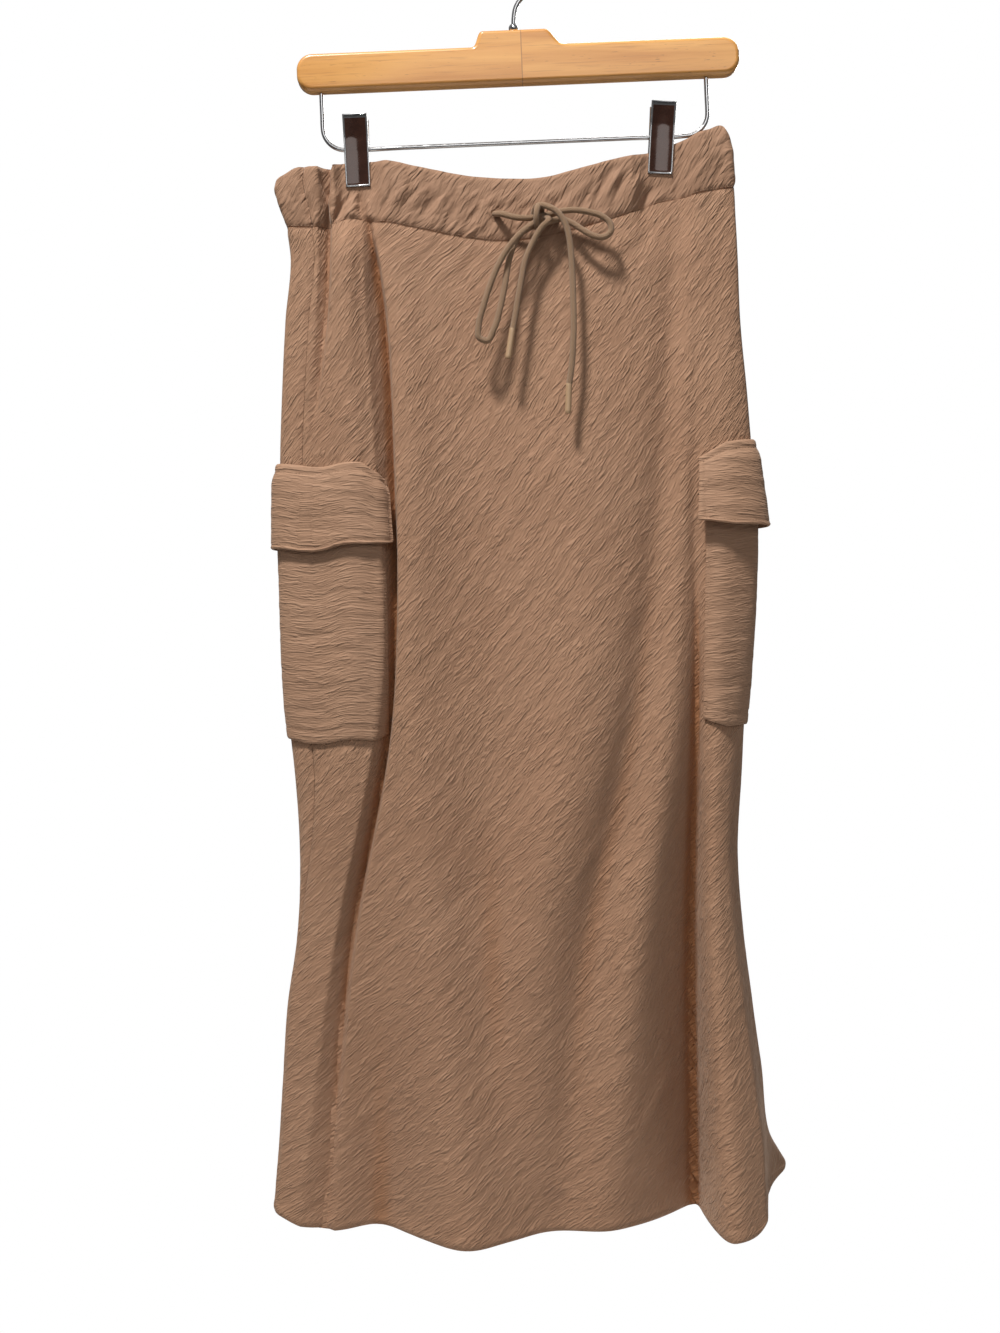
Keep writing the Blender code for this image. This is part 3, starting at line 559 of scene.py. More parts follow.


def crepe_cloth(name, length, width, relief, light=CREPE_LIGHT, dark=CREPE_DARK):
    """The skirt's cloth, its crinkles laid by the piece's own map."""
    made, tree, shader = new_finish(name, Sheen_Weight=0.16, Sheen_Roughness=0.45,
                                    Sheen_Tint=(1.0, 0.86, 0.74, 1), Specular_IOR_Level=0.3)
    place = node(tree, "ShaderNodeUVMap", uv_map="crinkles")
    look = node(tree, "ShaderNodeGroup", node_tree=crepe)
    for socket, value in (("Length", length), ("Width", width), ("Light", light), ("Dark", dark)):
        look.inputs[socket].default_value = value
    tree.links.new(place.outputs[0], look.inputs["Place"])
    # Painted shade: down in the folds, by the stored depth, the colour is darkened and warmed.
    deep = node(tree, "ShaderNodeAttribute", attribute_name="hollow").outputs["Fac"]
    fold_shaded = blended(tree, deep, look.outputs["Colour"], FOLD_SHADE_TINT, blend_type="MULTIPLY")
    tree.links.new(fold_shaded, shader.inputs["Base Color"])
    tree.links.new(look.outputs["Roughness"], shader.inputs["Roughness"])
    bumped(tree, shader, look.outputs["Height"], relief)
    return made


panel_cloth = crepe_cloth("panel crepe", 0.012, 0.0021, 0.0015)
# A faint patch low on the front, darker than the cloth round it.
DARK_PATCH = (0.17, 0.1, 0.068, 1)
DARK_PATCH_PLACE = (-0.031, 0.045, 0.996)  # added to a place, it counts from the patch's middle
DARK_PATCH_SPREAD = (62.0, 12.0, 105.0)  # one over its half sizes in metres
tree = panel_cloth.node_tree
shader = tree.nodes["Principled BSDF"]
place = node(tree, "ShaderNodeTexCoord").outputs["Object"]
from_patch = node(tree, "ShaderNodeVectorMath", {0: place, 1: DARK_PATCH_PLACE}, operation="ADD")
away = node(tree, "ShaderNodeVectorMath", {0: scaled(tree, from_patch.outputs[0], DARK_PATCH_SPREAD)},
            operation="LENGTH")
edge = maths(tree, "MULTIPLY_ADD", noise(tree, place, 160.0), 0.9, away.outputs["Value"])
patch = ranged(tree, edge, 0.6, 1.5, 0.38, 0.0, interpolation_type="SMOOTHSTEP")
unpatched_colour = shader.inputs["Base Color"].links[0].from_socket
tree.links.new(blended(tree, patch, unpatched_colour, DARK_PATCH), shader.inputs["Base Color"])

FRONT_CREASES = placed_creases(
    (-112, -262, 70, 84, 5, -0.7), (-88, -300, 80, 74, 6, 0.6), (-40, -262, 46, 62, 5, -0.8),
    (-18, -268, 40, 58, 5, 0.7), (8, -262, 44, 60, 5, -0.7), (62, -252, 52, 54, 5, -0.8),
    (84, -240, 46, 52, 5, 0.8), (104, -236, 52, 56, 5, -0.6), (40, -330, 90, 56, 7, 0.6),
    (-30, -370, 80, 50, 7, -0.6), (20, -430, 96, 52, 8, 0.6), (74, -400, 90, 58, 7, -0.6),
    (-56, -455, 80, 46, 7, 0.6), (110, -330, 110, 62, 7, 0.6), (138, -420, 100, 66, 7, -0.5),
    (-10, -540, 110, 48, 8, -0.7), (50, -590, 100, 52, 8, 0.7), (-54, -640, 90, 44, 8, 0.6),
    (90, -560, 100, 58, 8, -0.6), (10, -700, 110, 46, 8, 0.6), (-50, -760, 100, 40, 8, -0.7),
    (64, -720, 90, 54, 8, 0.6), (-140, -700, 70, 34, 6, 0.6), (-150, -800, 70, 34, 6, -0.6),
    (-90, -860, 100, 38, 8, 0.6), (0, -860, 110, 44, 8, -0.6), (56, -900, 90, 50, 8, -0.6),
    (-130, -940, 90, 36, 7, 0.7), (-40, -960, 100, 42, 8, 0.6), (110, -930, 80, 58, 7, 0.6),
    (150, -820, 90, 64, 6, -0.5), (168, -930, 80, 64, 6, 0.5),
)


def ridge(away, half_width):
    """A round ridge of height 1 along a line, away from which it dies out."""
    return np.exp(-((away / half_width) ** 2))


def hem_roll(down, x):
    """The turned hem: a soft roll along the last centimetre that curls in at the very edge."""
    uneven = 0.25 * np.sin(x / 9.0 + 2 * np.sin(x / 37.0)) * np.exp(-down / 9)
    return 0.5 * ridge(down - 5, 3.2) + uneven - 0.9 * ridge(down, 1.6)


def seam_groove(from_seam):
    """The cloth dips into a side seam, with a slight roll beside it."""
    return 0.35 * ridge(from_seam - 4.2, 1.8) - 0.95 * ridge(from_seam, 2.0)


PANEL_SPAN = 430.0  # width of a panel as it lies flat
CRINKLES_FROM = -230.0  # the level where a panel's crinkles have their own slope
CRINKLE_SLOPE = 53
CRINKLE_DRIFT = -0.11  # they turn slowly down the cloth
TUCK = 0.015  # a panel's top edge is tucked this share of the casing's height behind it


def tube_grid(columns, rows, is_front, top, bottom, span):
    """The corners of the front or the back length of the tube, between two shares of the way down.

    Their shares, their distances round the ring, the two seams' distances, their places across the
    flat cloth, which is span wide, and how far down it they are, from 0 to 1.
    """
    u, v = np.meshgrid(np.linspace(0, 1, columns + 1), np.linspace(0, 1, rows + 1))
    share = top + v * (bottom - top)
    left, right, whole = seams(share)
    start, end = (left, right) if is_front else (right, whole + left)
    return share, start + GAP + u * (end - start - GAP), start, end, (u - 0.5) * span, v


def hung_panel(name, columns, rows, is_front, placed, seed, gathers_down, gathers_up, slope, length):
    """A panel's cloth, its flat area, and on it crinkles, gathers, placed creases, seams and hem.

    The gathers reach gathers_down millimetres below the casing and stand gathers_up of them out.
    """
    share, way, start, end, across, _ = tube_grid(columns, rows, is_front, -TUCK, 1.0, PANEL_SPAN)
    x, _, z = np.moveaxis(on_cloth(share, way), -1, 0)
    crinkles = crinkle_place(across, z - CRINKLES_FROM, CRINKLE_SLOPE, CRINKLE_DRIFT)
    below_casing = height(0, x) - z
    lift = 0.2 * puckers(seed, *crinkles, 24, 7.0) + pressed(placed, x, z)
    gathered = gathers_up * puckers(seed + 6, *crinkle_place(across, z, slope), length, 9.0) + 0.35
    lift += np.exp(-below_casing / gathers_down) * gathered
    lift = np.clip(lift - 0.9 * ridge(below_casing, 1.8), -0.9, 1.3)
    if is_front:
        under_pockets = np.maximum(smooth(-60, -88, x), smooth(118, 132, x))
        lift = lift * (1 - 0.6 * under_pockets * smooth(-408, -418, z) * smooth(-660, -650, z))
    lift = lift * (1 - 0.8 * clip_pinch(x, z)) * calm(share, way)
    lift += seam_groove(way - start) + seam_groove(end - way) + hem_roll(z - height(1, x), x)
    lift = np.clip(lift, -1.1, 1.4)
    piece = cloth_piece(name, share, way, lift, CLOTH_WALL, crinkles, panel_cloth)
    return piece, cut_area(share, way)


front_panel, area = hung_panel("front_panel_cloth", 264, 336, True, FRONT_CREASES, seed=11,
                               gathers_down=34.0, gathers_up=0.7, slope=76, length=42)
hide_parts("front_panel")

# ---------------------------------------------------------------- the back panel
# The same cloth, gathered all along the waist and hanging in deeper folds than the front. It carries
# most of the flare at the right of the hem.

BACK_CREASES = placed_creases(
    (-120, -300, 90, -58, 6, 0.6), (-70, -280, 80, -64, 6, -0.7), (-20, -290, 84, -60, 6, 0.7),
    (30, -280, 76, -66, 6, -0.7), (80, -290, 90, -58, 6, 0.6), (120, -310, 80, -62, 6, -0.6),
    (-90, -410, 100, -52, 8, -0.6), (0, -420, 110, -50, 8, 0.7), (90, -430, 96, -54, 8, -0.6),
    (-130, -540, 90, -48, 7, 0.6), (-40, -560, 110, -46, 8, -0.7), (50, -560, 100, -50, 8, 0.6),
    (130, -560, 90, -52, 7, 0.5), (-90, -700, 100, -44, 8, 0.6), (10, -710, 110, -46, 8, -0.6),
    (100, -720, 96, -50, 8, 0.7), (-140, -830, 90, -42, 7, -0.6), (-50, -860, 110, -44, 8, 0.7),
    (60, -850, 100, -48, 8, -0.6), (140, -860, 90, -54, 7, 0.6), (-90, -960, 90, -40, 8, 0.6),
    (20, -965, 100, -44, 8, -0.6),
)
back_panel, area = hung_panel("back_panel_cloth", 220, 300, False, BACK_CREASES, seed=21,
                              gathers_down=40.0, gathers_up=1.0, slope=84, length=48)
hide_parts("back_panel")

# ---------------------------------------------------------------- the waist casing
# A band of the same cloth folded double over the drawcord, in a front and a back length that join at
# the side seams. Its cord draws it up, so it puffs between the top fold and the stitch line.

# Painted shade: the casing's crepe colours are darker than the panels', though it is the same cloth.
casing_cloth = crepe_cloth("casing crepe", 0.016, 0.0036, 0.0014, light=(0.375, 0.226, 0.148, 1),
                           dark=(0.27, 0.15, 0.092, 1))
CASING_CREASES = placed_creases(
    (-166, -204, 36, 70, 3.0, 0.8), (-140, -204, 30, 84, 3.4, 0.8), (-110, -206, 36, 74, 3.2, 0.9),
    (-102, -204, 40, 70, 2.8, -1.3), (-94, -202, 34, 62, 3, 1.0), (-86, -206, 36, 56, 2.8, -1.4),
    (-76, -200, 34, 52, 2.8, 1.1), (-68, -208, 36, 50, 2.6, -1.3), (-58, -204, 34, 48, 2.8, 1.2),
    (-50, -213, 34, 46, 2.6, -1.4), (-41, -206, 34, 44, 2.8, 1.1), (-32, -215, 32, 44, 2.6, -1.4),
    (-23, -208, 32, 44, 2.8, 1.1), (-12, -212, 30, 42, 2.6, -1.2), (-4, -204, 30, 42, 2.8, 1.0),
    (6, -214, 30, 44, 2.6, -1.1), (24, -204, 34, 48, 3.0, 1.0), (34, -206, 36, 50, 2.8, -1.2),
    (46, -204, 38, 56, 3.4, 1.1), (57, -202, 40, 60, 2.6, -1.3), (146, -176, 36, 44, 3.2, -1.0),
    (156, -170, 36, 40, 3.4, 0.9), (162, -182, 30, 60, 3.0, -1.0),
)
# The clips draw these folds into the casing; they run on where it is pinched.
CLIP_CREASES = placed_creases(
    (-154, -192, 32, 111, 2.4, -1.3), (-150.5, -217, 32, 86, 2.4, -2.0),
    (-147.5, -208, 46, 72, 3.2, 2.0), (-140.5, -212, 44, 68, 2.0, -3.0),
    (-132, -214, 42, 88, 5.0, 3.2), (-123.8, -212, 40, 101, 1.8, -3.4),
    (-115, -210, 44, 82, 4.4, 2.6), (67.8, -196.4, 52, 67, 2.8, -1.7), (76, -194, 44, 65, 3.4, 1.2),
    (83.8, -192.8, 48, 63, 2.8, -1.7), (94.5, -196, 44, 66, 3.6, 1.4),
    (105.4, -202.3, 42, 70, 2.6, -2.2), (117, -203, 30, 84, 4.0, 0.8),
    (129, -196, 30, 96, 2.4, -1.0),
)
CASING_SPAN = 372.0  # length of a casing as it lies
CASING_FLAT = (0.4, 0.045)
CASING_SHARES = (-1.0, -GAP / CASING_HEIGHT)  # from its top fold down to just above the panels


def casing_relief(seed, way, start, end, across, v, x, z, placed):
    """The casing's puff, its gathers along the stitch line and its seams at both ends."""
    free = 1 - clip_pinch(x, z)
    puff = 2.0 * np.sin(np.pi * np.clip(v, 0, 1) ** 1.25) ** 0.5 - 0.5
    lift = puff + pressed(placed, x, z)
    level = -v * CASING_HEIGHT
    lift += 1.1 * puckers(seed, *crinkle_place(across, level, 48), 17, 4.6) * smooth(0.0, 0.3, v)
    lift += 0.6 * puckers(seed + 5, *crinkle_place(across, level, 80), 16, 5.0) * smooth(0.55, 0.95, v)
    lift = np.clip(lift, -1.2, 2.6) * free + 0.1 * (1 - free)
    lift += pressed(CLIP_CREASES, x, z) * (1 - 0.7 * smooth(0.88, 1.0, v))
    lift += 1.3 * (seam_groove(way - start) + seam_groove(end - way)) - ridge(1 - v, 0.055)
    return np.clip(lift - 0.7 * ridge(v, 0.035), -2.1, 3.4)


for where, columns, seed, placed in (("front", 480, 31, CASING_CREASES), ("back", 440, 41, ())):
    share, way, start, end, across, v = tube_grid(columns, 40, where == "front", *CASING_SHARES,
                                                  CASING_SPAN)
    x, _, z = np.moveaxis(on_cloth(share, way), -1, 0)
    crinkles = crinkle_place(across, -v * CASING_HEIGHT, 46)
    lift = casing_relief(seed, way, start, end, across, v, x, z, placed)
    casing = cloth_piece(f"casing_{where}_cloth", share, way, lift, CASING_WALL, crinkles, casing_cloth)
    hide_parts(f"casing_{where}")
    min(cut_area(share, way), CASING_FLAT[0] * CASING_FLAT[1])

# ---------------------------------------------------------------- the pockets
# A flat patch pouch on each side, its top hidden by the flap. Its cloth is turned the other way, so
# the crinkles lie level, and a turned band runs along its bottom edge.

POCKET_HALF_WIDTH = 68.5
POUCH_EDGE_LIFT = 1.2
POUCH_FULLNESS = 1.8
# Shares of the way from the stitch line to the hem.
POCKET_SHARE_X = (-80, 0, 50, 80)
FLAP_TOP_SHARE = (0.239, 0.239, 0.244, 0.262)
FLAP_BOTTOM_SHARE = (0.325, 0.325, 0.324, 0.316)
POUCH_BELOW_FLAP = 0.02
POUCH_BOTTOM_SHARE = (0.513, 0.515, 0.515, 0.504)
POCKET_DROP = 790.0  # millimetres to a whole share
POUCH_HEIGHT = 0.252 * POCKET_DROP
BAND_STITCHES = 9.5  # a pouch is stitched this far above its bottom edge
SIDE_STITCHES = 3.0  # and this far in from its sides
SIDES = (("left", True), ("right", False))

pocket_cloth = crepe_cloth("pocket crepe", 0.014, 0.0022, 0.00095, light=(0.43, 0.268, 0.18, 1),
                           dark=(0.3, 0.17, 0.104, 1))
LEFT_POUCH_CREASES = placed_creases(
    (-150, -520, 44, 6, 3.5, -0.6), (-128, -534, 50, -5, 3.6, 0.6), (-158, -552, 50, 4, 3.4, -0.6),
    (-130, -566, 44, -8, 3.4, -0.6), (-152, -584, 56, 3, 3.6, 0.6), (-124, -598, 40, 8, 3.4, -0.6),
    (-158, -612, 46, -4, 3.4, -0.6), (-134, -626, 56, 4, 3.6, 0.5),
)
RIGHT_POUCH_CREASES = placed_creases(
    (160, -494, 40, -6, 3.4, -0.6), (166, -514, 44, 5, 3.6, 0.6), (156, -532, 40, -4, 3.4, -0.6),
    (168, -552, 44, 6, 3.4, -0.5), (158, -572, 44, -5, 3.6, 0.6), (166, -592, 40, 4, 3.4, -0.6),
    (158, -612, 40, -6, 3.4, 0.5),
)


def pocket_way(share, is_left, across):
    """Distance round the ring of a point across a pocket; positive is towards the front's middle."""
    left, right, _ = seams(share)
    return left + across if is_left else right - across


def patch_grid(columns, rows, half_width, is_left):
    """Places across a pocket, whose right side is the left one's mirror image, and down it."""
    u, v = np.meshgrid(np.linspace(0, 1, columns + 1), np.linspace(0, 1, rows + 1))
    return half_width * ((2 * u - 1) if is_left else (1 - 2 * u)), v


def pouch_place(across, v, is_left):
    """Share, distance round the ring and standing-off of a pouch at a place on it."""
    bottom = np.interp(across, POCKET_SHARE_X, POUCH_BOTTOM_SHARE)
    top = np.interp(across, POCKET_SHARE_X, FLAP_TOP_SHARE) + POUCH_BELOW_FLAP
    share = top + (bottom - top) * v
    u = (across / POCKET_HALF_WIDTH + 1) / 2
    full = np.clip(4 * u * (1 - u), 0, 1) ** 0.6 * (1 - v**6) * (0.3 + 0.7 * smooth(0.1, 0.6, v))
    off = POUCH_EDGE_LIFT + CLOTH_WALL + POUCH_FULLNESS * full
    return share, pocket_way(share, is_left, across), off


for side, is_left in SIDES:
    across, v = patch_grid(104, 136, POCKET_HALF_WIDTH, is_left)
    share, way, off = pouch_place(across, v, is_left)
    x, _, z = np.moveaxis(on_cloth(share, way), -1, 0)
    crinkles = crinkle_place(across, -share * POCKET_DROP, 3 if is_left else -4)
    from_bottom = (1 - v) * POUCH_HEIGHT
    from_side = POCKET_HALF_WIDTH - np.abs(across)
    placed = LEFT_POUCH_CREASES if is_left else RIGHT_POUCH_CREASES
    lift = 0.36 * puckers(51 if is_left else 56, *crinkles, 24, 4.4) + pressed(placed, x, z)
    inside = smooth(0, 9, from_side) * smooth(6, 13, from_bottom)
    lift = np.clip(lift, -1.0, 1.3) * (0.25 + 0.75 * inside)
    lift -= 0.55 * ridge(from_bottom - BAND_STITCHES, 1.3) + 0.4 * ridge(from_side - SIDE_STITCHES, 1.2)
    lift = np.clip(lift - 0.7 * ridge(np.minimum(from_side, from_bottom), 0.9), -1.1, 1.4)
    pouch = cloth_piece(f"pouch_{side}_cloth", share, way, lift, CLOTH_WALL, crinkles, pocket_cloth,
                        off)
    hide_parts(f"pocket_{side}")

# ---------------------------------------------------------------- the pocket flaps
# Each is two layers of the cloth sewn and turned, stitched to the skirt along its top edge and
# edge-stitched round the other three. It hangs over the mouth of the pouch and stands off below.

FLAP_HALF_WIDTH = 71.5
FLAP_EDGE_LIFT = 1.2
FLAP_OVER_POUCH = 3.6
FLAP_SWING = {True: 2.0, False: 6.5}
FLAP_DROP = 68.0
TOP_STITCHES = 6.5  # a flap is stitched on this far below its top edge
EDGE_STITCHES = 3.4  # and this far in from the other three
LEFT_FLAP_CREASES = placed_creases(
    (-150, -432, 60, -3, 3.2, -0.5), (-122, -440, 50, -10, 3.2, 0.5), (-160, -448, 44, 5, 3.2, 0.5),
    (-128, -458, 56, -6, 3.2, -0.6), (-156, -468, 50, 3, 3.4, -0.5), (-120, -474, 44, -8, 3.0, 0.5),
)
RIGHT_FLAP_CREASES = placed_creases(
    (160, -416, 50, 8, 3.2, -0.5), (172, -426, 44, 4, 3.2, 0.5), (158, -438, 44, 0, 3.2, -0.6),
    (174, -448, 44, -6, 3.2, 0.5), (160, -456, 44, -8, 3.2, -0.5),
)


def flap_place(across, v, is_left):
    """Share, distance round the ring and standing-off of a flap at a place on it."""
    top = np.interp(across, POCKET_SHARE_X, FLAP_TOP_SHARE)
    bottom = np.interp(across, POCKET_SHARE_X, FLAP_BOTTOM_SHARE)
    share = top + (bottom - top) * v
    stands = FLAP_OVER_POUCH * smooth(0.0, 0.25, v) + FLAP_SWING[is_left] * v**1.6
    return share, pocket_way(share, is_left, across), FLAP_EDGE_LIFT + FLAP_WALL + stands


for side, is_left in SIDES:
    across, v = patch_grid(112, 56, FLAP_HALF_WIDTH, is_left)
    share, way, off = flap_place(across, v, is_left)
    x, _, z = np.moveaxis(on_cloth(share, way), -1, 0)
    crinkles = crinkle_place(across, -share * POCKET_DROP, -3 if is_left else 4)
    from_top, from_bottom = v * FLAP_DROP, (1 - v) * FLAP_DROP
    from_side = FLAP_HALF_WIDTH - np.abs(across)
    near_edge = np.minimum(from_side, from_bottom)
    placed = LEFT_FLAP_CREASES if is_left else RIGHT_FLAP_CREASES
    lift = 0.42 * puckers(61 if is_left else 66, *crinkles, 24, 4.4) + pressed(placed, x, z)
    lift = np.clip(lift, -0.8, 1.1) * smooth(2, 10, from_top) * smooth(0, 6, near_edge)
    lift += 0.45 * ridge(from_top - 2.5, 2.2) - 0.6 * ridge(from_top - TOP_STITCHES, 1.1)
    lift += 0.35 * ridge(near_edge - 1.4, 0.9) - 0.5 * ridge(near_edge - EDGE_STITCHES, 1.0)
    lift = np.clip(lift - 0.8 * ridge(np.minimum(near_edge, from_top), 0.7), -1.1, 1.3)
    flap = cloth_piece(f"flap_{side}_cloth", share, way, lift, FLAP_WALL, crinkles, pocket_cloth, off)
    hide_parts(f"flap_{side}")

# ---------------------------------------------------------------- the stitching
# Lockstitch in a matching thread, about nine stitches to an inch: under the casing, along the top and
# round the edge of each flap, and down the sides and across the bottom band of each pouch.

STITCH_PITCH = 2.8
STITCH_HALF_LENGTH = 0.92
THREAD = 0.42
SUNK = 0.3  # into the cloth it holds

thread, tree, shader = new_finish("thread", Roughness=0.6)
mottled(tree, shader, 2400.0, 2.0, (0.30, 0.17, 0.105, 1), (0.46, 0.29, 0.19, 1))

stitching = bpy.data.node_groups.new("stitch rows", "GeometryNodeTree")
stitching.interface.new_socket("Rows", in_out="INPUT", socket_type="NodeSocketGeometry")
sockets = {}
for socket, value in (("Pitch", STITCH_PITCH), ("Stitch length", STITCH_HALF_LENGTH),
                      ("Thread radius", THREAD / 2)):
    made = stitching.interface.new_socket(socket, in_out="INPUT", socket_type="NodeSocketFloat")
    made.default_value = value * MM
    sockets[socket] = made.identifier
stitching.interface.new_socket("Stitches", in_out="OUTPUT", socket_type="NodeSocketGeometry")
given = stitching.nodes.new("NodeGroupInput").outputs
spots = node(stitching, "GeometryNodeCurveToPoints", {"Curve": given["Rows"], "Length": given["Pitch"]},
             mode="LENGTH")
bead = node(stitching, "GeometryNodeMeshUVSphere", {"Segments": 6, "Rings": 5, "Radius": 1.0})
shape = node(stitching, "ShaderNodeCombineXYZ",
             {"X": given["Thread radius"], "Y": given["Thread radius"], "Z": given["Stitch length"]})
uneven = node(stitching, "FunctionNodeRandomValue",
              {"Min": (0.8, 0.8, 0.82), "Max": (1.2, 1.2, 1.1), "Seed": 4}, data_type="FLOAT_VECTOR")
sewn = node(stitching, "GeometryNodeInstanceOnPoints",
            {"Points": spots.outputs["Points"], "Instance": bead.outputs["Mesh"],
             "Rotation": spots.outputs["Rotation"],
             "Scale": scaled(stitching, shape.outputs[0], uneven.outputs[0])})
real = node(stitching, "GeometryNodeRealizeInstances", {"Geometry": sewn.outputs[0]})
dyed = node(stitching, "GeometryNodeSetMaterial", {"Geometry": real.outputs[0], "Material": thread})
put = stitching.nodes.new("NodeGroupOutput")
stitching.links.new(dyed.outputs[0], put.inputs[0])


def stitch_rows(name, rows, pitch=STITCH_PITCH):
    """Stitches along rows of points in millimetres, as one mesh."""
    curve = bpy.data.curves.new(name, "CURVE")
    curve.dimensions = "3D"
    for row in rows:
        line = curve.splines.new("POLY")
        line.points.add(len(row) - 1)
        weighted = np.concatenate([row * MM, np.ones((len(row), 1))], axis=1)
        line.points.foreach_set("co", weighted.ravel())
    drawn = bpy.data.objects.new(name, curve)
    scene.collection.objects.link(drawn)
    sewing = drawn.modifiers.new("sewing", "NODES")
    sewing.node_group = stitching
    sewing[sockets["Pitch"]] = pitch * MM
    made = bpy.data.meshes.new_from_object(drawn.evaluated_get(bpy.context.evaluated_depsgraph_get()))
    bpy.data.objects.remove(drawn, do_unlink=True)
    made.name = name
    piece = add_piece(name, made, 180)
    return piece


UNDER_CASING = -0.045  # the stitch line's share of the casing's height
rows = []
for is_front, columns in ((True, 420), (False, 400)):
    way = tube_grid(columns, 1, is_front, *CASING_SHARES, CASING_SPAN)[1]
    rows.append(on_cloth(np.full(columns + 1, UNDER_CASING), way[-1], -0.1))
stitch_rows("casing_stitches", rows)

for side, is_left in SIDES:
    turn = 1 if is_left else -1
    edge = FLAP_HALF_WIDTH - EDGE_STITCHES
    span = np.linspace(-edge, edge, 120)
    top_row = flap_place(turn * span, np.full(120, TOP_STITCHES / FLAP_DROP), is_left)
    low = 1 - EDGE_STITCHES / FLAP_DROP
    down = np.linspace(TOP_STITCHES / FLAP_DROP, low, 60)
    border_across = np.concatenate([np.full(60, -edge), span, np.full(60, edge)])
    border_down = np.concatenate([down, np.full(120, low), down[::-1]])
    border = flap_place(turn * border_across, border_down, is_left)
    rows = [on_cloth(share, way, off - SUNK) for share, way, off in (top_row, border)]
    stitch_rows(f"flap_{side}_stitches", rows)
    edge = POCKET_HALF_WIDTH - SIDE_STITCHES
    span = np.linspace(-edge, edge, 120)
    rows = [pouch_place(turn * span, np.full(120, 1 - BAND_STITCHES / POUCH_HEIGHT), is_left)]
    down = np.linspace(0.05, 1 - 1.8 / POUCH_HEIGHT, 120)
    for side_across in (-edge, edge):
        rows.append(pouch_place(np.full(120, turn * side_across), down, is_left))
    rows = [on_cloth(share, way, off - SUNK) for share, way, off in rows]
    stitch_rows(f"pouch_{side}_stitches", rows)

# ---------------------------------------------------------------- the drawcord
# A round braided cord that runs inside the casing, out through two small worked holes at the middle of
# the front, and is tied in a bow. Each of its two halves makes one loop and ends in a slim tip.

CORD = 4.8
LEFT_HALF = (
    (-16.8, -8.5, -215.2), (-14.5, -13.5, -216.3), (-10.5, -17.3, -217.6), (-3.4, -19.8, -220.3),
    (3.7, -21.4, -221.9), (11, -21.5, -222.0), (18, -20.0, -221), (25, -18.5, -218.8),
    (33.6, -20.4, -217.0), (45.5, -24.5, -216.6), (57.3, -26, -218.4), (67.5, -27, -221.8),
    (74.4, -27.5, -227.6), (75.2, -28, -234.6), (69.6, -28, -238.9), (62.3, -27.5, -238.0),
    (53.6, -25.5, -232.8), (44.8, -23, -226.6), (35, -21, -222.6), (26, -19, -224.5),
    (18, -15.5, -224.0), (14.6, -14, -218.5), (15.6, -17, -213.6), (19.5, -23.5, -212.4),
    (26, -28.0, -215.0), (33, -29.6, -219.6), (38.8, -30.2, -228), (42.2, -30.6, -239.5),
    (43.9, -31, -254.5), (45.2, -33, -283.6), (45.5, -35.5, -314.7), (43.4, -37, -346.4),
    (41.8, -37.5, -357.1),
)
RIGHT_HALF = (
    (34.4, -9.5, -215.2), (31, -14.5, -216.6), (26, -16, -220.5), (21.5, -15, -226.5),
    (18.6, -19, -230.6), (17.0, -25.5, -228.6), (16.4, -28.6, -222.6), (17.2, -27.6, -216.4),
    (19.2, -22.5, -212.4), (21, -17.5, -215), (20, -17, -221.5), (14, -22.5, -226.8),
    (2.8, -29, -237.4), (-5.8, -30.5, -248.2), (-13.3, -31.5, -261.4), (-19.8, -32.5, -277.4),
    (-25.2, -33.5, -294.9), (-28.8, -34, -309.5), (-28.2, -34.3, -319.6), (-22.6, -34, -321.9),
    (-17.0, -33, -312.6), (-12.1, -31, -295.9), (-8.2, -28.5, -276.4), (-5.4, -25.6, -258.4),
    (-1.4, -22.9, -244.4), (4.0, -21.4, -234.4), (11.5, -18.5, -229), (18.5, -18.5, -224.5),
    (24.8, -22.5, -221.8), (26.4, -26.2, -224.6), (20.6, -27.0, -231), (13.4, -27.0, -243.5),
    (8.8, -28.1, -254.1), (4.0, -30, -276.8), (-0.3, -32, -302.4), (-2.3, -33, -313.2),
)
TIPS = {
    "right": ((41.8, -37.5, -355.5), (41.0, -38.2, -379.5)),
    "left": ((-2.2, -33, -311.6), (-5.8, -34.5, -335.9)),
}
EYELET = (2.9, 3.3)  # a worked hole's half width and half height
EYELET_STANDS = 11.9  # in front of the hanger's middle
STRANDS = 6
LAY = 0.0042  # metres for one turn of a strand


def eased_route(route, step):
    """Points a step apart on the smooth curve through a route."""
    route = np.array(route, float)
    ways = np.concatenate([[0], np.cumsum(np.linalg.norm(np.diff(route, axis=0), axis=1))])
    at = np.linspace(0, ways[-1], max(3, round(ways[-1] / step) + 1))
    return np.stack([through(ways, route[:, i], at) for i in range(3)], axis=1)


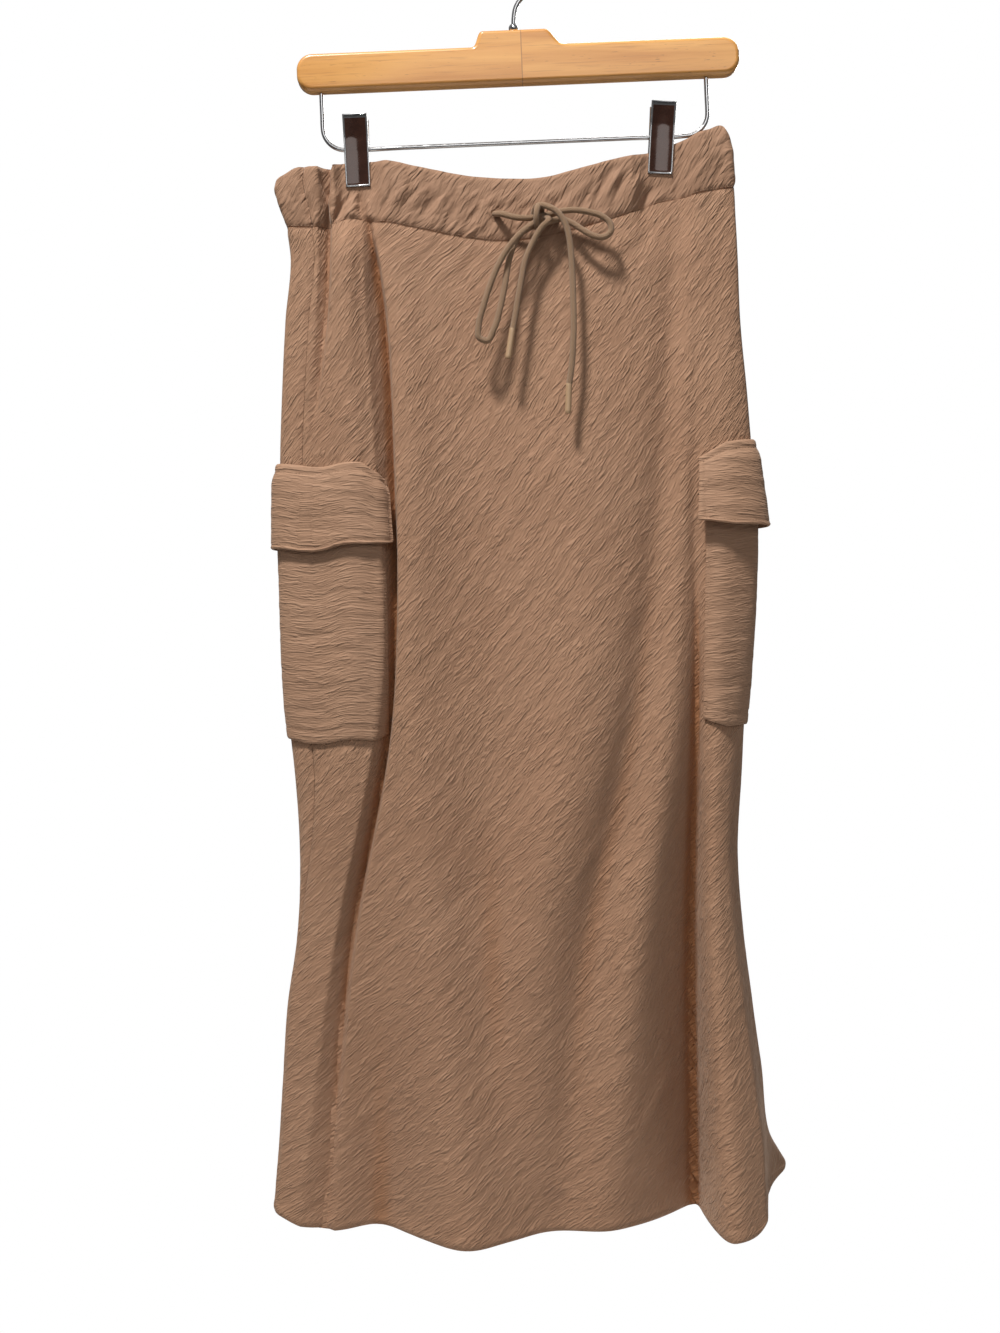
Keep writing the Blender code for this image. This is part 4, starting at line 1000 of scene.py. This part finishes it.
def tube(name, route, radii, sides, finish):
    """A closed round tube along points in millimetres, mapped once round and in metres along."""
    radii = np.broadcast_to(radii, len(route))
    ahead = np.gradient(route, axis=0)
    ahead /= np.linalg.norm(ahead, axis=1, keepdims=True)
    up = Vector(ahead[0]).orthogonal().normalized()
    angles = np.linspace(0, 2 * math.pi, sides, endpoint=False)
    corners = []
    for place, way, radius in zip(route, ahead, radii):
        way = Vector(way)
        up = (up - way * up.dot(way)).normalized()
        beside = way.cross(up)
        for angle in angles:
            out = up * math.cos(angle) + beside * math.sin(angle)
            corners.append((Vector(place) + out * radius) * MM)
    rings_made = len(route)
    faces = []
    for r in range(rings_made - 1):
        for s in range(sides):
            t = (s + 1) % sides
            faces.append((r * sides + s, r * sides + t, (r + 1) * sides + t, (r + 1) * sides + s))
    faces.append(tuple(range(sides - 1, -1, -1)))
    faces.append(tuple((rings_made - 1) * sides + s for s in range(sides)))
    data = bpy.data.meshes.new(name)
    data.from_pydata(corners, [], faces)
    gone = np.concatenate([[0], np.cumsum(np.linalg.norm(np.diff(route, axis=0), axis=1))]) * MM
    uv = data.uv_layers.new(name="round and along").data
    for r in range(rings_made - 1):
        for s in range(sides):
            first = (r * sides + s) * 4
            for corner, (a, b) in enumerate(((s, r), (s + 1, r), (s + 1, r + 1), (s, r + 1))):
                uv[first + corner].uv = (a / sides, gone[b])
    return add_piece(name, data, 50, finish)


# Braided round a core: two families of strands cross over and under on the tube's own map.
braid, tree, shader = new_finish("braided drawcord", Roughness=0.75, Sheen_Weight=0.2)
place = node(tree, "ShaderNodeUVMap", uv_map="round and along").outputs[0]
split = node(tree, "ShaderNodeSeparateXYZ", {0: place}).outputs
around = maths(tree, "MULTIPLY", split["X"], STRANDS * 2 * math.pi)
along = maths(tree, "MULTIPLY", split["Y"], 2 * math.pi / LAY)
leaning = maths(tree, "COSINE", maths(tree, "ADD", around, along))
crossing = maths(tree, "COSINE", maths(tree, "SUBTRACT", around, along))
checks = maths(tree, "ABSOLUTE", maths(tree, "MULTIPLY", leaning, crossing))
crest = maths(tree, "MULTIPLY_ADD", checks, 0.9, 0.05)
fuzz = noise(tree, place, 900.0)
bumped(tree, shader, maths(tree, "MULTIPLY_ADD", fuzz, 0.15, crest), 0.0006)
# Colour: painted shade where the strands dip under each other and painted light on their crests, with
# random fuzz.
strand_shade_and_fuzz = node(tree, "ShaderNodeClamp", {"Value": maths(tree, "MULTIPLY_ADD", fuzz, 0.35, crest)})
tree.links.new(blended(tree, strand_shade_and_fuzz.outputs[0], (0.19, 0.105, 0.053, 1), (0.4, 0.25, 0.145, 1)),
               shader.inputs["Base Color"])

tip_finish, tree, shader = new_finish("cord tip", Roughness=0.38)
place = node(tree, "ShaderNodeUVMap", uv_map="round and along").outputs[0]
streaks = noise(tree, scaled(tree, place, (30.0, 160.0, 1.0)), 1.0)
tree.links.new(blended(tree, streaks, (0.36, 0.24, 0.14, 1), (0.47, 0.32, 0.2, 1)),
               shader.inputs["Base Color"])
bumped(tree, shader, streaks, 0.0002, 0.5)

for side, ends in TIPS.items():
    route = eased_route(ends, 1.2)
    radii = np.full(len(route), CORD / 2 + 0.05)
    radii[0] = CORD / 2 - 0.35
    radii[-1] = CORD / 2 - 0.55
    tube(f"cord_tip_{side}", route, radii, 24, tip_finish)
    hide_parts(f"aglet_{side}")

for half, route, tip_side, nodes in (
    ("left", LEFT_HALF, "right",
     ("drawcord_left_run", "drawcord_right_loop", "drawcord_right_tail", "drawcord_knot")),
    ("right", RIGHT_HALF, "left", ("drawcord_left_loop", "drawcord_left_tail")),
):
    line = eased_route(route, 0.9)
    seen = float(np.linalg.norm(np.diff(line, axis=0), axis=1).sum()) * MM
    piece = tube(f"drawcord_from_{half}_hole", line, CORD / 2, 20, braid)
    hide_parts(*nodes)

# A worked hole is a ring of close thread round a slit in the casing.
turn = np.linspace(0, 2 * math.pi, 61)
stands = np.full(61, -EYELET_STANDS)
rims = []
for x, _, z in (LEFT_HALF[0], RIGHT_HALF[0]):
    rims.append(np.stack([x + EYELET[0] * np.cos(turn), stands, z + EYELET[1] * np.sin(turn)], axis=1))
stitch_rows("eyelet_stitches", rims, 0.5)

# ---------------------------------------------------------------- the hanger's bar
# Solid wood, cut flat with a raised boss in its middle, its edges rounded over and clear varnished.
# Two lengths are joined a little left of the hook. It hangs with its right end high.

TILT = math.radians(2.4)
BAR_LENGTH = 355.6
BAR_HEIGHT = 30.0
BAR_THICKNESS = 14.0
BAR_SHIFT = 1.2
BAR_EDGE = 3.5
BOSS_WIDTH = 47.0
BOSS_RISE = 12.6
BOSS_SHOULDER = 15.0
BOSS_LEAN = -2.5
BAR_TOP = -66.0


def arc(centre, radius, start, end, count):
    """Points along an arc in the XZ plane, angles in degrees."""
    angles = np.radians(np.linspace(start, end, count))
    return [(centre[0] + radius * math.cos(a), centre[1] + radius * math.sin(a)) for a in angles]


def tilted(point):
    """A place in the hanger's own upright frame, turned with the hanger about the bar's top centre."""
    x, y, z = point
    turn = Matrix.Rotation(-TILT, 3, "Y")
    return turn @ Vector((x, y, z - BAR_TOP)) + Vector((0, 0, BAR_TOP))


arm_top = BAR_TOP - BOSS_RISE
arm_bottom = arm_top - BAR_HEIGHT
corner = BAR_HEIGHT * 0.42
end = BAR_LENGTH / 2
shoulder = [(BOSS_WIDTH / 2 + BOSS_SHOULDER * f, BAR_TOP - BOSS_RISE * smooth(0, 1, smooth(0, 1, f)))
            for f in np.linspace(0, 1, 33)]
half = shoulder + arc((end - corner, arm_top - corner), corner, 90, 0, 20)
half += arc((end - corner, arm_bottom + corner), corner, 0, -90, 20)
outline = half + [(-x, z) for x, z in reversed(half)]
outline = [(x + BOSS_LEAN * max(0, z - arm_top) / BOSS_RISE, z) for x, z in outline]
curve = bpy.data.curves.new("wooden_bar", "CURVE")
curve.dimensions = "2D"
curve.fill_mode = "BOTH"
curve.extrude = (BAR_THICKNESS / 2 - BAR_EDGE) * MM
curve.bevel_depth = BAR_EDGE * MM
curve.bevel_resolution = 7
curve.offset = -BAR_EDGE * MM
line = curve.splines.new("POLY")
line.use_cyclic_u = True
line.points.add(len(outline) - 1)
for point, (x, z) in zip(line.points, outline):
    point.co = (x * MM, (z - BAR_TOP) * MM, 0, 1)
drawn = bpy.data.objects.new("wooden_bar", curve)
scene.collection.objects.link(drawn)
data = bpy.data.meshes.new_from_object(drawn.evaluated_get(bpy.context.evaluated_depsgraph_get()))
bpy.data.objects.remove(drawn, do_unlink=True)
stand = Matrix.Translation((BAR_SHIFT * MM, 0, BAR_TOP * MM)) @ Matrix.Rotation(-TILT, 4, "Y")
data.transform(stand @ Matrix.Rotation(math.pi / 2, 4, "X"))
welded = bmesh.new()
welded.from_mesh(data)
bmesh.ops.remove_doubles(welded, verts=welded.verts, dist=0.00001)
bmesh.ops.recalc_face_normals(welded, faces=welded.faces)
welded.to_mesh(data)
welded.free()

JOINT = 0.0015  # where its two lengths meet, in metres
varnished, tree, shader = new_finish("varnished wood grain", Roughness=0.34, Coat_Weight=0.6,
                                     Coat_Roughness=0.12)
place = node(tree, "ShaderNodeTexCoord").outputs["Object"]
level = node(tree, "ShaderNodeMapping", {"Vector": place, "Rotation": (0, TILT, 0)}).outputs[0]
lengthways = node(tree, "ShaderNodeSeparateXYZ", {0: level}).outputs["X"]
beyond = maths(tree, "MULTIPLY", maths(tree, "GREATER_THAN", lengthways, JOINT), 0.3)
shifted = node(tree, "ShaderNodeCombineXYZ", {"X": 0.0, "Y": beyond, "Z": 0.0}).outputs[0]
board = node(tree, "ShaderNodeVectorMath", {0: level, 1: shifted}, operation="ADD").outputs[0]
year_rings = node(tree, "ShaderNodeTexNoise",
                  {"Vector": scaled(tree, board, (5.0, 70.0, 95.0)), "Scale": 1.0, "Detail": 3.0,
                   "Roughness": 0.55, "Distortion": 0.5})
pores = noise(tree, scaled(tree, board, (38.0, 500.0, 900.0)), 1.0)
flecks = noise(tree, scaled(tree, board, (150.0, 800.0, 1100.0)), 1.0, 1.0)
honey = node(tree, "ShaderNodeValToRGB", {0: year_rings.outputs[0]})
ramp = honey.color_ramp
ramp.elements[0].position, ramp.elements[0].color = 0.3, (0.55, 0.235, 0.055, 1)
ramp.elements[1].position, ramp.elements[1].color = 0.72, (0.75, 0.39, 0.115, 1)
middle = ramp.elements.new(0.5)
middle.color = (0.65, 0.31, 0.082, 1)
pore_share = ranged(tree, pores, 0.56, 0.72, 0.0, 0.42)
grained = blended(tree, pore_share, honey.outputs[0], (0.42, 0.18, 0.055, 1))
flecked = blended(tree, ranged(tree, flecks, 0.73, 0.79, 0.0, 0.6), grained, (0.2, 0.085, 0.03, 1))
from_joint = maths(tree, "ABSOLUTE", maths(tree, "SUBTRACT", lengthways, JOINT))
joint_share = ranged(tree, from_joint, 0.0002, 0.0006, 0.75, 0.0)
tree.links.new(blended(tree, joint_share, flecked, (0.28, 0.12, 0.04, 1)), shader.inputs["Base Color"])
bumped(tree, shader, pores, 0.0002, 0.35)

data.materials.clear()
bar = add_piece("wooden_bar", data, 40, varnished)
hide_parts("hanger_bar")

# ---------------------------------------------------------------- the hook and its collar
# Bent from chromed wire: a straight shaft out of the boss that sweeps right into an open loop, with
# a turned collar where it leaves the wood.

HOOK_WIRE = 3.6
HOOK_RADIUS = 20.0
HOOK_FOOT = -1.2  # where its shaft leaves the boss, across
FERRULE_RADIUS = 3.2
FERRULE_HEIGHT = 5.0

chromed, tree, shader = new_finish("chrome", Metallic=1.0)
worn = mottled(tree, shader, 260.0, 3.0, (0.5, 0.51, 0.53, 1), (0.66, 0.67, 0.69, 1))
tree.links.new(ranged(tree, worn, 0.35, 0.75, 0.1, 0.24), shader.inputs["Roughness"])

shaft = [(HOOK_FOOT, BAR_TOP + GAP), (HOOK_FOOT, -61.0), (-1.0, -54.0), (0.2, -47.0), (3.4, -41.0),
         (8.4, -36.2)]
loop = arc((0.0, HOOK_WIRE / 2 - HOOK_RADIUS), HOOK_RADIUS, -48, 205, 22)
line = eased_route([(x, 0, z) for x, z in shaft + loop], 1.6)
radii = np.full(len(line), HOOK_WIRE / 2)
radii[-2:] = HOOK_WIRE / 2 - 0.25, HOOK_WIRE / 2 - 1.0
hook = tube("wire_hook", line, radii, 28, chromed)
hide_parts("hook")


def turned(name, profile, steps):
    """A ring's mesh, turned about Z from a closed clockwise profile of (radius, height)."""
    count = len(profile)
    corners, faces = [], []
    for step in range(steps):
        angle = 2 * math.pi * step / steps
        corners += [(r * MM * math.cos(angle), r * MM * math.sin(angle), z * MM) for r, z in profile]
        for p in range(count):
            here, after = step * count, (step + 1) % steps * count
            faces.append((here + p, here + (p + 1) % count, after + (p + 1) % count, after + p))
    data = bpy.data.meshes.new(name)
    data.from_pydata(corners, [], faces)
    return data


inside = HOOK_WIRE / 2 + GAP
swell = ((-0.2, 0), (0, 0.25), (0.55, 1.2), (0.8, 2.5), (0.55, 3.8), (0, 4.75), (-0.2, FERRULE_HEIGHT))
outside = [(FERRULE_RADIUS + r, z) for r, z in swell]
data = turned("hook_collar", [(inside, 0), *outside, (inside, FERRULE_HEIGHT)], 40)
data.transform(Matrix.Translation(Vector((HOOK_FOOT, 0, BAR_TOP + GAP)) * MM))
collar = add_piece("hook_collar", data, 40, chromed)
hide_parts("hook_ferrule")

# ---------------------------------------------------------------- the wire under the bar
# One length of chromed wire: two legs glued up into the bar, and a straight run that carries the clips.

BOW_WIRE = 3.4
BOW_WIDTH = 310.0
BOW_CORNER = 18.0
BOW_DROP = 46.5
BOW_SHIFT = -3.0

bow_top = arm_bottom - GAP
bow_bottom = bow_top - BOW_DROP
side = BOW_WIDTH / 2
right = [(side, bow_top), (side, bow_top - 9), (side, bow_top - 18)]
right += arc((side - BOW_CORNER, bow_bottom + BOW_CORNER), BOW_CORNER, 0, -90, 13)
run = [(x, bow_bottom) for x in (90, 45, 0, -45, -90)]
outline = right + run + [(-x, z) for x, z in reversed(right)]
line = eased_route([tilted((x + BOW_SHIFT, 0, z)) for x, z in outline], 1.6)
bow = tube("wire_under_bar", line, BOW_WIRE / 2, 28, chromed)
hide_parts("wire_bow")

# ---------------------------------------------------------------- the clips
# Each is two pressed steel plates that bite the waistband, with rolled bright edges and a dark
# brown face, and a coiled spring round the wire between them whose ends press the plates together.

CLIP_LENGTH = 57.0
CLIP_PLATE = 1.2
CLIP_BITE = 31.0
CLIP_TURNS = (math.radians(2.6), math.radians(-3.0))
SPRING_TURNS = 11
SPRING_STEPS = 22  # in each turn
SPRING_LENGTH = 19.0
SPRING_WIRE = 1.1

# The plates' faces are coloured dark brown, mottled, under a thin clear coat.
dark_brown_face, tree, shader = new_finish("dark brown steel", Metallic=0.15, Coat_Weight=0.3,
                                   Coat_Roughness=0.06)
rubbed = mottled(tree, shader, 120.0, 4.0, (0.024, 0.008, 0.005, 1), (0.055, 0.02, 0.011, 1))
tree.links.new(ranged(tree, rubbed, 0.3, 0.8, 0.08, 0.22), shader.inputs["Roughness"])

# The plate's section across: how far each place lies from its middle line, and how far it stands out.
PLATE_SECTION = (
    (-10, -2.6), (-10, -0.7), (-9.85, -0.1), (-9.5, 0.18), (-9.05, 0.2), (-8.7, 0.0), (-8.5, -0.25),
    (-8.4, -0.3), (0, -0.3), (8.4, -0.3), (8.5, -0.25), (8.7, 0.0), (9.05, 0.2), (9.5, 0.18),
    (9.85, -0.1), (10, -0.7), (10, -2.6),
)
PLATE_WALL = 0.8
PLATE_BACK = -2.0  # what lies further back in the section is its turned edge
RIM_START, RIM_END = 8.4, 9.6  # from its middle line
LIP = 1.4  # length of the rolled lip at both ends
barrel_outer = BOW_WIRE / 2 + GAP + 1.2
mouth = CASING_WALL + 2 * GAP
# How far its inner side stands from the middle, from its upper end to its mouth below the wire.
BOWED_DOWN = (-26, -8, 4, 12, CLIP_BITE)
BOWED_OUT = (7.5, 4.2, barrel_outer + GAP, mouth + 0.4, mouth)


def clip_plate(name, centre, level, turn, facing):
    """One plate, closed all round, its face dark brown and its rolled edges bright."""
    downs = np.concatenate([[0, 0.25, 0.7], np.linspace(LIP, CLIP_LENGTH - LIP, 34),
                            [CLIP_LENGTH - 0.7, CLIP_LENGTH - 0.25, CLIP_LENGTH]])
    corners, rows, columns = [], len(downs), len(PLATE_SECTION)
    for inner in (0, 1):
        for d in downs:
            down = d - (CLIP_LENGTH - CLIP_BITE)
            off = np.interp(down, BOWED_DOWN, BOWED_OUT)
            ends = min(d, CLIP_LENGTH - d)
            lip = 0.5 * float(1 - smooth(0.0, LIP, ends)) + 0.42 * float(1 - smooth(0.4, 2.2, ends))
            for across, out in PLATE_SECTION:
                rim = float(smooth(RIM_START, RIM_END, abs(across)))
                wide = across * (1 - inner * PLATE_WALL / 10 * rim)
                stand = out + (lip - 0.5 * float(1 - smooth(0, 0.5, ends))) * (1 - rim)
                stand *= 1 if out > PLATE_BACK else 0.55
                reach = off + CLIP_PLATE - 0.2 + stand - inner * PLATE_WALL
                x = wide * facing * math.cos(turn) + down * math.sin(turn)
                z = wide * facing * math.sin(turn) - down * math.cos(turn)
                y = -facing * max(reach, mouth - 0.25)
                corners.append(((centre + x) * MM, y * MM, (level + z) * MM))
    grid = np.arange(2 * rows * columns).reshape(2, rows, columns)
    faces, finishes = [], []
    for r in range(rows - 1):
        for c in range(columns - 1):
            a, b = grid[0], grid[1]
            faces.append((a[r, c], a[r + 1, c], a[r + 1, c + 1], a[r, c + 1]))
            is_across = abs(PLATE_SECTION[c][0] + PLATE_SECTION[c + 1][0]) / 2 < RIM_START + 0.1
            finishes.append(1 if is_across and LIP < downs[r] < CLIP_LENGTH - 2 else 0)
            faces.append((b[r, c], b[r, c + 1], b[r + 1, c + 1], b[r + 1, c]))
            finishes.append(0)
    for fine, plain in ((grid[0][0], grid[1][0]), (grid[0][:, -1], grid[1][:, -1]),
                        (grid[0][-1, ::-1], grid[1][-1, ::-1]), (grid[0][::-1, 0], grid[1][::-1, 0])):
        for i in range(len(fine) - 1):
            faces.append((fine[i], fine[i + 1], plain[i + 1], plain[i]))
            finishes.append(0)
    data = bpy.data.meshes.new(name)
    data.from_pydata(corners, [], [tuple(int(i) for i in face) for face in faces])
    piece = add_piece(name, data, 45, chromed, dark_brown_face)
    data.polygons.foreach_set("material_index", finishes)
    return piece


for side, centre, turn in zip(("left", "right"), CLIP_CENTRES, CLIP_TURNS):
    level = tilted((centre, 0, bow_bottom))[2]
    for where, facing in (("front", 1), ("back", -1)):
        plate = clip_plate(f"plate_{side}_{where}", centre, level, turn, facing)
        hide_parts(f"clip_{side}_{where}")
    along_wire = Vector((math.cos(TILT), 0, math.sin(TILT)))
    beside_wire = Vector((-math.sin(TILT), 0, math.cos(TILT)))
    coil_radius = BOW_WIRE / 2 + GAP + 0.65
    whole_turn = 2 * math.pi * SPRING_TURNS
    spring = []
    for angle in np.linspace(0, whole_turn, SPRING_TURNS * SPRING_STEPS):
        lies = Vector((centre, 0, level)) + along_wire * (angle / whole_turn - 0.5) * SPRING_LENGTH
        around = beside_wire * math.cos(angle) + Vector((0, 1, 0)) * math.sin(angle)
        spring.append(lies + around * coil_radius)
    coil = tube(f"spring_{side}", np.array(spring), SPRING_WIRE / 2, 8, chromed)
    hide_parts(f"clip_{side}_barrel")

# ---------------------------------------------------------------- the room
# A pale floor well below the hanging skirt, one small steep light in front of it and a little to its
# left, two broad soft ones before and behind it, and an even white surround.

FLOOR_HALF = 1.5
FLOOR_LEVEL = -1.9

floor_data = bpy.data.meshes.new("floor")
turns = ((-1, -1), (1, -1), (1, 1), (-1, 1))
corners = [(x * FLOOR_HALF, y * FLOOR_HALF, FLOOR_LEVEL) for x, y in turns]
floor_data.from_pydata(corners, [], [(0, 1, 2, 3)])
pale, tree, shader = new_finish("pale floor", Roughness=0.7)
mottled(tree, shader, 6.0, 2.0, (0.72, 0.71, 0.69, 1), (0.78, 0.77, 0.75, 1))
floor_data.materials.append(pale)
floor = bpy.data.objects.new("floor", floor_data)
scene.collection.objects.link(floor)

for name, size, power, tint, place, aim in (
    ("steep light", 0.44, 122.0, (1.0, 0.96, 0.9), (-0.78, -1.2, 2.2), (0.0, 0.0, -0.55)),
    ("broad light", 1.8, 17.0, (1.0, 0.975, 0.95), (0.3, -3.3, 0.9), (0.0, 0.0, -0.6)),
    ("rear light", 1.6, 85.0, (1.0, 0.97, 0.93), (0.9, 2.8, 1.4), (0.0, 0.0, -0.6)),
):
    light_data = bpy.data.lights.new(name, "AREA")
    light_data.shape = "DISK"
    light_data.size = size
    light_data.energy = power
    light_data.color = tint
    light = bpy.data.objects.new(name, light_data)
    light.location = place
    light.rotation_euler = (Vector(aim) - Vector(place)).to_track_quat("-Z", "Y").to_euler()
    scene.collection.objects.link(light)

world = bpy.data.worlds.new("white surround")
world.use_nodes = True
tree = world.node_tree
tree.nodes.clear()
seen = node(tree, "ShaderNodeLightPath")
upwards = node(tree, "ShaderNodeTexCoord").outputs["Generated"]
rise = node(tree, "ShaderNodeSeparateXYZ", {0: upwards}).outputs["Z"]
around = node(tree, "ShaderNodeBackground",
              {"Color": (1.0, 0.98, 0.96, 1), "Strength": ranged(tree, rise, -0.6, 0.9, 0.05, 0.27)})
white = node(tree, "ShaderNodeBackground", {"Color": (1, 1, 1, 1), "Strength": 1.0})
either = node(tree, "ShaderNodeMixShader",
              {0: seen.outputs["Is Camera Ray"], 1: around.outputs[0], 2: white.outputs[0]})
node(tree, "ShaderNodeOutputWorld", {"Surface": either.outputs[0]})
scene.world = world
scene.view_settings.view_transform = "Standard"
